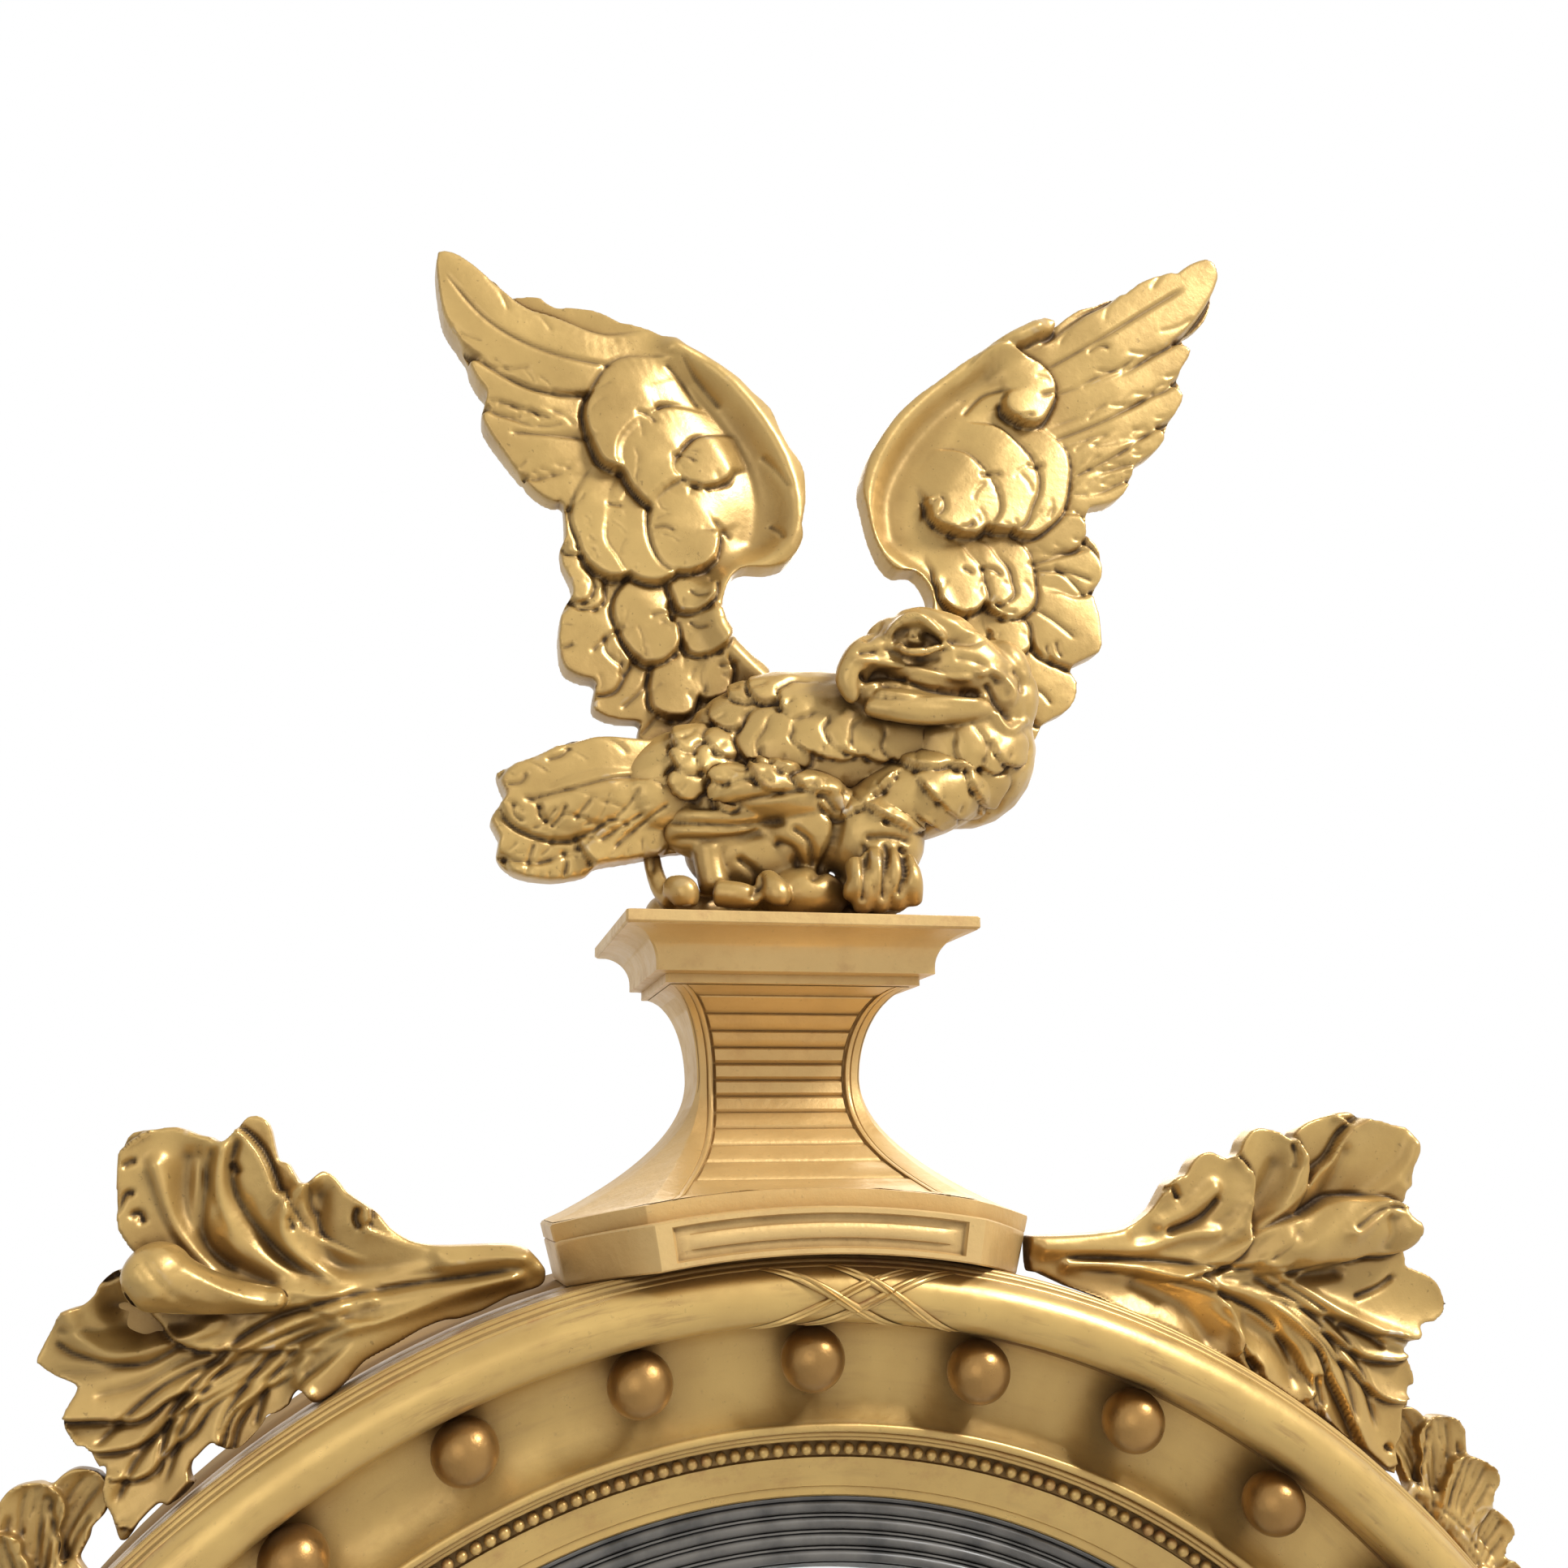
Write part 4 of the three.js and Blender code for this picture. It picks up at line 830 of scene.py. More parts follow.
def balls():
    turn = Matrix.Rotation(math.pi / 2, 4, "X")
    for i in range(30):
        angle = 2 * math.pi * i / 30
        bm = bmesh.new()
        centre = Vector((327.0 * math.sin(angle), -117.35, 327.0 * math.cos(angle)))
        matrix = Matrix.Translation(centre) @ turn
        bmesh.ops.create_uvsphere(bm, u_segments=40, v_segments=24, radius=BALL_RADIUS, matrix=matrix)
        bmesh.ops.create_uvsphere(
            bm, u_segments=20, v_segments=10, radius=3.2,
            matrix=Matrix.Translation(centre + Vector((0, 11.0, 0))) @ turn,
        )
        name = f"ball_{i + 1:02d}"
        piece("gilt ball " + str(i + 1), bm, ball_gold, name, crease=0)


# ---------- Hardware ----------

def screw(name, spot, face):
    """A slotted countersunk screw: a head of two halves on a disc, and a pointed shank."""
    bm = bmesh.new()
    drum(bm, spot, 3.95, face + 0.75, face + 1.4)
    for side in (-1, 1):
        half = bmesh.new()
        drum(half, (0, 0), 3.9, 0, 0.8)
        sliced(half, side * 0.55, side)
        rims = [e for e in half.edges if e.calc_length() < 3 and e.calc_face_angle(0) > 1]
        bmesh.ops.bevel(half, geom=rims, offset=0.25, segments=2, profile=0.5, affect="EDGES", material=-1)
        bmesh.ops.rotate(half, verts=half.verts, cent=(0, 0, 0), matrix=Matrix.Rotation(0.5, 3, "Y"))
        bmesh.ops.translate(half, verts=half.verts, vec=(spot[0], -face, spot[1]))
        joined(bm, half)
    shank = [(1.9, 1.2), (1.9, 12.0), (1.2, 14.0), (0.2, 15.8)]
    loft(bm, [
        [Vector((spot[0] + r * math.cos(a), -face - d, spot[1] + r * math.sin(a))) for a in around(16)]
        for r, d in shank
    ])
    piece(name.replace("_", " "), bm, iron, name, crease=30)


def hanger():
    bm = bmesh.new()
    outline = bmesh.ops.create_grid(bm, x_segments=1, y_segments=1, size=0.5)["verts"]
    for vert in outline:
        vert.co = Vector((vert.co.x * 58, -8.8, 351.5 + vert.co.y * 18))
    slab(bm, outline, Vector((0, 1.6, 0)))
    corners = [e for e in bm.edges if abs(e.verts[0].co.y - e.verts[1].co.y) > 1]
    bmesh.ops.bevel(bm, geom=corners, offset=4, segments=5, profile=0.5, affect="EDGES", material=-1)
    rims = [e for e in bm.edges if e.calc_face_angle(0) > 1]
    bmesh.ops.bevel(bm, geom=rims, offset=0.3, segments=2, profile=0.5, affect="EDGES", material=-1)
    section = [(-6.5, 2.3), (-6.5, 3.4), (-6.2, 3.6), (6.2, 3.6), (6.5, 3.4), (6.5, 2.3)]
    verts = [bm.verts.new((x, -4.4, 346.5 + r)) for x, r in section]
    edges = [bm.edges.new(pair) for pair in zip(verts, verts[1:] + verts[:1])]
    bmesh.ops.spin(
        bm, geom=verts + edges, cent=(0, -4.4, 346.5), axis=(1, 0, 0), angle=2 * math.pi, steps=32, use_merge=True
    )
    piece("hanger plate", bm, brass, "hanger_plate", crease=30)

    bm = bmesh.new()
    bend = [(11 * math.cos(a), 342.5 - 11 * math.sin(a)) for a in np.linspace(0, math.pi, 17)]
    path = [(11, 346.5), (11, 344.5), *bend, (-11, 344.5), (-11, 346.5)]
    tube(bm, [Vector((x, -4.4, z)) for x, z in path], [1.8] * len(path), 14)
    tube(bm, [Vector((x, -4.4, 346.5)) for x in (-12.4, -6, 6, 12.4)], [1.8] * 4, 14)
    piece("hanging ring", bm, brass, "hanger_ring", body="hanging_ring", crease=0)


# ---------- Pedestal ----------

def tier(bm, inner, outer, front, panel):
    """A block along the frame's curve between canted ends, with a sunk panel and a bar on its front."""
    mid, half = (inner + outer) / 2, (outer - inner) / 2
    outward = [0.12, 0.22, 0.3, 0.34, 0.5, 0.66, 0.70, 0.74, 0.93, 1]
    across = [-place for place in reversed(outward)] + [0] + outward
    ends = [15, 14.85, 13.2, 11.5, 9.96, 9.84, 9.2, 8.9, 8.8, 8.72, 8.3, 7.9, 7.4, 6.8, 5.5, 4, 2.5, 1.2]
    angles = [-a for a in ends] + [0.0] + ends[::-1]

    def depths(angle):
        share = (min(abs(angle), 15.0) - 9.9) / 5.1 if abs(angle) > 9.9 else 0.0
        return mix(front, 92, share), mix(8, 40, share)

    rings = []
    for angle in angles:
        high, low = depths(angle)
        trim = 0.9 if abs(angle) > 14.9 else 0.0
        turn = math.radians(angle)
        ring = []
        for place in across:
            face = high - trim - (0.8 if abs(place) == 1 else 0)
            if panel:
                sunk = ease((0.74 - abs(place)) / 0.06) * ease((8.9 - abs(angle)) / 0.15)
                bar = math.sqrt(max(0.0, 1 - (place / 0.34) ** 2)) * ease((8.3 - abs(angle)) / 0.9)
                face += -1.8 * sunk + 2.6 * bar * sunk * 0.69
            ring.append((mid + place * (half - trim), face))
        ring += [(outer - trim, low), (inner + trim, low)]
        rings.append([Vector((r * math.sin(turn), -d, r * math.cos(turn))) for r, d in ring])
    loft(bm, rings)


def plinth():
    bm = bmesh.new()
    tier(bm, PLINTH_FOOT, PLINTH_STEP, PLINTH_FRONT, True)
    tier(bm, PLINTH_STEP - 0.6, PLINTH_TOP, PLINTH_FRONT - 14, False)
    piece("plinth", bm, matte, "plinth", crease=28)


WAIST = 438.3
NECK = 476.3
REEDS = 11  # in the shaft's panel


def shaft_plan(z):
    """Half widths at the front and side, then depths of the front, the side's front and the back, at a height."""
    if z > WAIST:
        share = min((z - WAIST) / 38, 1)
        out = 1 - math.sqrt(1 - share**2)
        return mix(36, 54.5, out), mix(36.5, 55, out), mix(62, 94, out), mix(61.5, 93.5, out), mix(26, 18, out)
    foot_front, foot_side = 392.6 * math.cos(math.radians(9.9)), 392.6 * math.cos(math.radians(15))
    front = min(1, (WAIST - z) / (WAIST - foot_front)) ** 2
    side = min(1, (WAIST - z) / (WAIST - foot_side)) ** 2
    return (
        mix(36, 66.5, front), mix(36.5, 100.1, side), mix(62, 124.2, front), mix(61.5, 90.5, side), mix(26, 40, side)
    )


def shaft():
    """The waisted shaft, its front a sunk panel of flat reeds inside a beaded border."""
    top, bottom, foot = 473.0, 395.5, 378.0
    pitch = (top - bottom) / REEDS
    levels = [foot, 383, 387, 390, 392.5, bottom - 1.6, bottom - 0.8]
    for i in range(REEDS):
        z = bottom + i * pitch
        levels += [z, z + 0.5, z + 1.6, z + pitch / 2, z + pitch - 1.0, z + pitch - 0.5]
    levels += [top, top + 0.8, 475.2, 476.0]
    rings = []
    for z in levels:
        half, side, front, side_front, back = shaft_plan(z)
        panel = half - (6.5 + 5.5 * ease((WAIST - z) / 40))
        inside = ease((z - bottom + 0.8) / 0.8) * ease((top + 0.8 - z) / 0.8)
        within = ((z - bottom) % pitch) / pitch if bottom < z < top else 0
        reed = ease(within / 0.16) * ease((1 - within) / 0.12)
        face = -2.4 * inside + 1.7 * reed * inside
        columns = []
        for step in (-1, 1):
            edge = [
                (half, -1.0), (half - 0.9, 0), (panel + 3.0, 0), (panel + 2.6, -0.5), (panel + 2.0, 0.5),
                (panel + 1.2, 0.7), (panel + 0.4, 0.4), (panel, -0.6 - 1.6 * inside), (panel - 0.7, -2.4 * inside),
                (panel - 1.4, face), (panel * 0.5, face),
            ]
            line = [Vector((step * x, -front - d, z)) for x, d in edge]
            columns += line if step < 0 else line[::-1]
        rings.append(columns + [
            Vector((x, y, z)) for x, y in (
                (side - 0.6, -side_front), (side, -side_front + 0.9), (side, -back - 0.8), (side - 0.8, -back),
                (-side + 0.8, -back), (-side, -back - 0.8), (-side, -side_front + 0.9), (-side + 0.6, -side_front),
            )
        ])
    for ring in rings:  # the foot follows the round top of the plinth
        for point in ring:
            point.z = max(point.z, math.sqrt(392.6**2 - point.x**2))
    bm = bmesh.new()
    loft(bm, rings)
    piece("pedestal shaft", bm, matte, "pedestal_shaft", crease=30)


def cap():
    """Neck, fillet, cavetto and slab, mitred at four corners."""
    neck, fillet, lip = (20, 25, 17), (15, 18, 13), (1, 1, 1)
    halfway = tuple(mix(a, b, 0.5) for a, b in zip(neck, fillet))
    levels = [(NECK, neck), (479.9, neck), (480.4, halfway), (480.6, fillet), (483.2, fillet)]
    for i in range(1, 13):
        angle = i / 12 * math.pi / 2
        out = 1 - math.cos(angle)
        levels.append((483.4 + math.sin(angle) * 14.2, tuple(mix(a, b, out) for a, b in zip(fillet, lip))))
    slab_edge = [(497.8, 1), (498.1, 0.4), (498.7, 0), (502.6, 0), (503.1, 0.4), (503.3, 1)]
    levels += [(z, (inset,) * 3) for z, inset in slab_edge]
    bm = bmesh.new()
    rings = []
    for z, (side, front, back) in levels:
        half, near, far = 75.5 - side, 120 - front, back
        e = 0.9
        plan = [
            (-half + e, near), (half - e, near), (half, near - e), (half, far + e),
            (half - e, far), (-half + e, far), (-half, far + e), (-half, near - e),
        ]
        rings.append([Vector((x, -depth, z)) for x, depth in plan])
    loft(bm, rings)
    piece("pedestal cap", bm, matte, "pedestal_cap", crease=30)


# ---------- Wings ----------

# Places were read off the plane at depth 58. A feather is its spine, width, root height, rise and camber,
# and a covert is one of the short round feathers in front of the quills.
LEFT_OUTLINE = [
    (-162, 817), (-161, 823), (-159, 826), (-155, 827), (-150, 825), (-144, 822), (-139, 818), (-133, 815),
    (-130, 811), (-126, 808), (-120, 809), (-113, 810), (-109, 807), (-104, 805), (-98, 806), (-91, 806), (-83, 805),
    (-74, 801), (-66, 800), (-58, 798), (-52, 795), (-46, 794), (-41, 790), (-33, 787), (-23, 781), (-15, 776),
    (-8, 769), (1, 762), (5, 751), (10, 741), (16, 734), (18, 724), (17, 711), (15, 701), (16, 696), (13, 688),
    (6, 680), (-4, 677), (-12, 677), (-18, 674), (-22, 667), (-24, 657), (-22, 649), (-16, 641), (-9, 634), (-1, 628),
    (-4, 617), (-14, 607), (-30, 598), (-49, 589), (-61, 588), (-63, 592), (-62, 598), (-61, 600), (-69, 600),
    (-77, 601), (-83, 604), (-84, 608), (-83, 614), (-83, 618), (-89, 619), (-96, 622), (-99, 628), (-100, 638),
    (-99, 649), (-96, 656), (-94, 660), (-95, 666), (-99, 674), (-100, 682), (-98, 687), (-99, 704), (-103, 704),
    (-110, 707), (-117, 713), (-122, 719), (-126, 724), (-132, 732), (-137, 740), (-138, 746), (-136, 755),
    (-140, 760), (-144, 767), (-147, 775), (-151, 782), (-157, 791), (-160, 803),
]
LEFT_QUILLS = [
    ([(-48, 603), (-56, 596), (-62, 591)], 13, 0.0, 1.7, 1.0),
    ([(-50, 629), (-62, 614), (-77, 603), (-83, 601)], 30, 0.7, 2.2, 1.3),
    ([(-69, 660), (-78, 645), (-91, 628), (-99, 618)], 42, 1.3, 3.3, 1.6),
    ([(-91, 695), (-91, 672), (-84, 653)], 18, 0.7, 1.7, 1.0),
    ([(-99, 686), (-95, 672), (-89, 656)], 15, 1.3, 2.2, 1.0),
    ([(-94, 703), (-94, 692), (-89, 679)], 17, 2.0, 1.7, 1.0),
    ([(-79, 720), (-95, 714), (-110, 709), (-118, 710)], 22, 0.7, 2.2, 1.3),
    ([(-79, 735), (-104, 733), (-123, 734), (-139, 742)], 35, 2.0, 2.8, 1.6),
    ([(-79, 747), (-108, 752), (-127, 758), (-146, 767)], 25, 3.2, 3.3, 1.3),
    ([(-47, 788), (-73, 778), (-99, 777), (-123, 783), (-142, 796), (-161, 823)], 38, 4.5, 4.4, 1.6),
]
LEFT_COVERTS = [
    ([(-31, 640), (-31, 628), (-26, 612)], 21, 1.9, 3.3, 0.6),
    ([(-37, 639), (-45, 621), (-48, 602)], 24, 1.9, 4.1, 0.8),
    ([(-37, 659), (-34, 648), (-26, 635)], 25, 2.2, 4.1, 0.8),
    ([(-37, 676), (-39, 666), (-32, 656)], 21, 2.9, 4.1, 0.8),
    ([(-53, 671), (-62, 654), (-53, 630)], 26, 2.6, 4.1, 0.9),
    ([(-59, 654), (-59, 643), (-47, 633)], 25, 2.9, 4.1, 0.8),
    ([(-71, 727), (-83, 706), (-80, 686), (-70, 669)], 24, 2.9, 4.1, 0.9),
    ([(-60, 725), (-64, 701), (-59, 684), (-48, 670)], 31, 3.2, 4.7, 1.1),
    ([(-39, 772), (-63, 768), (-74, 751), (-73, 722)], 31, 3.2, 5.4, 0.9),
    ([(-26, 749), (-49, 742), (-57, 725), (-45, 707)], 31, 3.8, 5.4, 0.9),
    ([(-14, 712), (-34, 708), (-42, 692), (-32, 676)], 35, 3.8, 5.4, 1.1),
    ([(-12, 740), (-24, 735), (-34, 726), (-37, 717)], 24, 5.0, 1.4, 0.8),
]
LEFT_RIM = [
    (-47, 788), (-24, 775), (-6, 755), (7, 732), (12, 708), (8, 690), (-5, 679), (-18, 672), (-27, 659), (-24, 641),
    (-6, 623),
]
LEFT_DISH = [
    (-37, 773), (-21, 753), (-9, 733), (-5, 712), (-8, 693),
]
LEFT_DASHES = [
    [(-158, 813), (-140, 793), (-121, 782), (-99, 776), (-76, 775)], [(-125, 736), (-104, 737), (-84, 738)],
    [(-85, 631), (-78, 639), (-69, 645)], [(-71, 605), (-62, 614), (-57, 624)], [(-66, 752), (-60, 751), (-56, 747)],
    [(-49, 731), (-42, 731), (-37, 728)], [(-28, 700), (-24, 697), (-19, 693)], [(-58, 693), (-52, 694), (-47, 692)],
    [(-58, 650), (-53, 652), (-47, 651)], [(-26, 628), (-21, 628), (-17, 629)], [(-40, 664), (-36, 661), (-31, 661)],
    [(-52, 780), (-42, 772), (-34, 760)], [(-44, 784), (-34, 773), (-23, 761)], [(-4, 737), (2, 730), (9, 719)],
    [(0, 702), (4, 698), (6, 693)], [(-79, 705), (-75, 704), (-72, 704)], [(-79, 640), (-78, 632), (-71, 626)],
    [(-100, 632), (-96, 633), (-93, 635)], [(-71, 628), (-70, 624), (-71, 621)],
    [(-131, 751), (-122, 749), (-105, 745)], [(-40, 649), (-36, 646), (-31, 646)],
]

RIGHT_OUTLINE = [
    (77, 659), (79, 666), (77, 674), (71, 681), (62, 680), (56, 685), (52, 693), (49, 702), (47, 712), (45, 722),
    (47, 732), (50, 741), (54, 748), (63, 762), (74, 774), (85, 783), (98, 794), (109, 802), (120, 810), (133, 818),
    (145, 825), (149, 825), (151, 822), (157, 827), (166, 834), (175, 837), (184, 842), (189, 842), (197, 849),
    (207, 854), (216, 857), (218, 856), (224, 861), (231, 865), (239, 867), (242, 864), (243, 857), (241, 845),
    (237, 835), (230, 828), (223, 823), (225, 817), (223, 809), (218, 801), (220, 795), (218, 784), (212, 774),
    (207, 762), (200, 754), (190, 747), (189, 742), (184, 732), (176, 726), (165, 723), (163, 716), (161, 710),
    (167, 705), (170, 697), (169, 686), (164, 676), (166, 666), (166, 654), (164, 645), (150, 638), (153, 630),
    (151, 621), (145, 614), (134, 608), (128, 597), (113, 596), (95, 612), (87, 637),
]
RIGHT_QUILLS = [
    ([(119, 644), (134, 629), (149, 616)], 35, 0.0, 2.2, 1.3),
    ([(128, 682), (143, 666), (165, 643)], 42, 1.3, 3.3, 1.6),
    ([(125, 691), (146, 691), (169, 688)], 28, 0.7, 2.2, 1.0),
    ([(126, 705), (144, 708), (161, 714)], 22, 2.0, 1.7, 1.0),
    ([(144, 723), (164, 728), (187, 736)], 18, 0.7, 2.2, 1.0),
    ([(145, 730), (169, 741), (194, 752)], 17, 1.3, 2.2, 1.0),
    ([(145, 743), (175, 753), (207, 766)], 18, 2.0, 2.8, 1.0),
    ([(142, 753), (176, 768), (199, 779), (218, 790)], 22, 2.6, 2.8, 1.0),
    ([(142, 774), (177, 786), (202, 800), (224, 814)], 22, 3.2, 3.3, 1.0),
    ([(109, 798), (131, 813), (150, 822)], 11, 3.9, 1.7, 1.0),
    ([(131, 786), (173, 811), (202, 831), (240, 864)], 37, 4.5, 4.4, 1.6),
]
RIGHT_COVERTS = [
    ([(110, 666), (118, 656), (123, 642)], 19, 1.6, 3.3, 0.6),
    ([(112, 704), (120, 684), (115, 661)], 28, 1.9, 4.1, 0.8),
    ([(99, 700), (109, 683), (114, 667)], 19, 2.6, 3.3, 0.8), ([(85, 697), (93, 680), (96, 661)], 25, 2.6, 4.1, 0.9),
    ([(129, 763), (140, 740), (124, 705)], 31, 2.6, 4.1, 0.8),
    ([(94, 755), (117, 740), (112, 706)], 36, 3.2, 4.7, 0.9), ([(77, 740), (95, 726), (91, 703)], 36, 3.8, 4.7, 0.9),
    ([(102, 774), (119, 790), (133, 784), (129, 765)], 31, 3.8, 4.7, 0.9),
]
RIGHT_RIM = [
    (138, 815), (115, 802), (95, 786), (75, 768), (61, 751), (51, 730), (48, 711), (52, 692), (62, 682), (74, 674),
    (79, 661), (88, 643),
]
RIGHT_DISH = [
    (112, 789), (90, 772), (73, 749), (61, 725), (61, 702),
]
RIGHT_DASHES = [
    [(139, 793), (173, 814), (199, 832), (221, 847)], [(167, 807), (173, 811), (179, 810)],
    [(131, 667), (141, 661), (152, 652)], [(100, 768), (111, 780), (124, 783)], [(118, 771), (125, 766), (135, 768)],
    [(131, 742), (136, 741), (140, 743)], [(104, 685), (111, 685), (115, 682)], [(110, 669), (115, 663), (122, 663)],
    [(127, 627), (134, 624), (139, 618)], [(137, 648), (138, 643), (141, 638)], [(142, 650), (143, 645), (145, 642)],
    [(76, 708), (79, 716), (85, 721), (86, 714), (81, 709)], [(93, 704), (98, 705), (101, 708)],
    [(95, 685), (99, 683), (100, 682)], [(138, 779), (161, 788), (193, 805)], [(148, 758), (176, 771), (199, 785)],
    [(156, 738), (179, 751), (200, 766)], [(129, 689), (147, 695), (163, 701)], [(132, 687), (150, 687), (164, 683)],
    [(143, 690), (151, 684), (160, 674)], [(106, 734), (111, 735), (117, 735)],
]


def wing(name, outline, quills, coverts, rim, dish, lines):
    """A wing: long quills behind rounded coverts, with a hollow beside its rolled leading edge."""
    bm = bmesh.new()
    plate(bm, outline, WING_DEPTH - 7, WING_DEPTH + 2)
    strokes = [(rim, 7.0, -7.0), (dish, 12.0, 3.0), (dish, 7.0, 2.0)] + dashes(lines)
    for spine, width, *_ in quills[-8:]:
        strokes += barbs(spine, width, 4, (0.55, 0.95), depth=0.8)
    for spine, width, *_ in coverts:
        strokes += barbs(spine, width, 2, (0.5, 0.9), start=0.5, depth=0.7)
    mesh = carved(fused(bm, VOXEL, 4), quills + coverts, strokes)
    piece(name, carved(mesh, lowered(quills, 0.6), facing=-1), burnished, name, crease=0)


# ---------- Eagle ----------

# Lumps of the trunk and head: seen place, depth, half sizes and tilt.
TRUNK = [
    ((24, 584), 62, (72, 32, 33), 9), ((80, 584), 66, (36, 34, 37), 0), ((2, 592), 58, (52, 28, 25), 12),
    ((-42, 566), 64, (42, 22, 24), 14), ((92, 606), 72, (25, 26, 28), 0), ((-4, 560), 80, (36, 17, 13), -8),
    ((60, 562), 74, (40, 26, 20), 18), ((38, 542), 78, (24, 20, 24), 0), ((40, 524), 80, (17, 19, 18), 0),
    ((-14, 534), 66, (34, 18, 22), 0), ((-30, 546), 72, (30, 16, 14), 8), ((10, 545), 74, (26, 18, 20), 0),
]
HEAD = [
    ((80, 622), 82, (29, 21, 19), -6), ((68, 636), 84, (26, 18, 14), -4), ((50, 634), 88, (14, 14, 12), 20),
    ((98, 618), 80, (18, 17, 21), -20), ((108, 606), 80, (10, 13, 16), -15), ((46, 624), 90, (18, 11, 8), 12),
    ((66, 606), 88, (30, 12, 7), -2), ((60, 614), 87, (28, 13, 10), -4), ((38, 622), 88, (11, 10, 9), 10),
    ((36, 612), 91, (8, 9, 9), 0), ((50, 605), 92, (17, 12, 6), -2),
]
FACE = [
    ([(34, 616), (41, 618), (50, 618), (57, 616)], 2.0, 6.0),
    ([(55, 616), (66, 613), (78, 612), (88, 611)], 1.1, 3.0), ([(82, 612), (88, 612), (89, 610)], 1.3, 2.2),
    ([(52, 638), (58, 639), (66, 638), (72, 636)], 2.6, 1.6), ([(59, 638), (60, 638)], 3.0, -2.0),
    ([(59, 638), (60, 638)], 0.9, 2.4), ([(47, 635), (52, 643), (61, 647), (69, 643), (75, 636)], 1.6, -2.6),
    ([(51, 634), (57, 630), (68, 632), (75, 635)], 1.5, -2.2),
    ([(45, 632), (51, 629), (61, 627), (73, 628)], 1.6, 1.4), ([(33, 628), (38, 629), (43, 629)], 1.2, 2.0),
    ([(29, 625), (38, 625), (48, 624), (62, 621), (78, 619), (89, 620)], 1.8, -2.0),
    ([(38, 637), (44, 644), (49, 647)], 3.0, 2.6), ([(46, 646), (60, 651), (79, 645), (93, 638)], 2.6, -1.8),
    ([(75, 637), (86, 636), (95, 638)], 1.6, 1.6), ([(40, 610), (53, 609), (79, 608), (92, 608)], 1.6, -1.4),
    ([(89, 621), (98, 623), (107, 614), (104, 607)], 2.2, -2.4), ([(94, 617), (99, 607), (106, 600)], 1.6, 2.4),
    ([(97, 604), (104, 595), (114, 602)], 2.0, -2.2), ([(108, 625), (112, 620), (111, 613)], 1.6, 2.4),
    ([(81, 645), (95, 642), (106, 632), (114, 622)], 2.4, 1.4), ([(79, 629), (91, 627), (101, 617)], 2.0, 1.4),
    ([(-46, 554), (-24, 556), (1, 562), (13, 566)], 1.6, 2.4), ([(-56, 547), (-25, 546), (-1, 549)], 2.0, 2.6),
    ([(-53, 538), (-25, 540), (-11, 544)], 1.8, 2.4), ([(-33, 561), (-20, 567), (-7, 566)], 1.4, 1.8),
    ([(15, 563), (22, 550), (16, 530), (9, 523)], 2.2, 3.0), ([(1, 546), (9, 540), (11, 528)], 1.6, 2.2),
    ([(-7, 539), (1, 536), (4, 528)], 1.8, 2.4), ([(34, 541), (34, 524), (32, 513)], 1.6, 2.4),
    ([(44, 541), (44, 528), (42, 514)], 1.4, 3.0), ([(51, 540), (53, 528), (49, 516)], 1.4, 3.0),
    ([(34, 542), (46, 543), (56, 541)], 1.8, 2.6), ([(-56, 551), (-58, 538), (-61, 523)], 1.6, 2.0),
    ([(-24, 532), (-14, 523), (-17, 513)], 1.8, 2.2),
]
SCALES = [
    ([(-40, 561), (-46, 564), (-53, 561)], 14), ([(-33, 570), (-42, 568), (-50, 559)], 17),
    ([(-33, 580), (-42, 578), (-50, 571)], 17), ([(-23, 597), (-37, 591), (-47, 582)], 15),
    ([(-33, 588), (-42, 586), (-51, 581)], 14), ([(-14, 562), (-25, 562), (-33, 556)], 17),
    ([(-20, 575), (-30, 575), (-38, 569)], 19), ([(-17, 589), (-27, 585), (-33, 578)], 17),
    ([(-10, 603), (-23, 599), (-33, 591)], 15), ([(-7, 608), (-17, 608), (-27, 605)], 11),
    ([(10, 614), (-3, 612), (-17, 606)], 15), ([(3, 573), (-7, 572), (-14, 566)], 21),
    ([(3, 598), (-9, 588), (-15, 574)], 23), ([(20, 608), (7, 605), (-3, 600)], 15),
    ([(23, 570), (26, 564), (33, 557)], 26), ([(18, 582), (16, 570), (15, 562)], 26),
    ([(10, 600), (1, 586), (-4, 571)], 23), ([(47, 565), (47, 556), (45, 551)], 33),
    ([(64, 565), (67, 555), (65, 550)], 23), ([(84, 573), (81, 562), (78, 557)], 23),
    ([(37, 579), (40, 568), (43, 564)], 33), ([(75, 579), (73, 566), (69, 560)], 33),
    ([(96, 584), (92, 571), (85, 566)], 23), ([(20, 599), (17, 587), (15, 579)], 29),
    ([(34, 602), (30, 591), (27, 581)], 23), ([(91, 594), (93, 585), (89, 577)], 21),
    ([(48, 597), (41, 588), (37, 579)], 21), ([(76, 597), (81, 587), (78, 576)], 21),
    ([(104, 595), (105, 588), (101, 579)], 17), ([(62, 603), (61, 589), (59, 575)], 33),
]


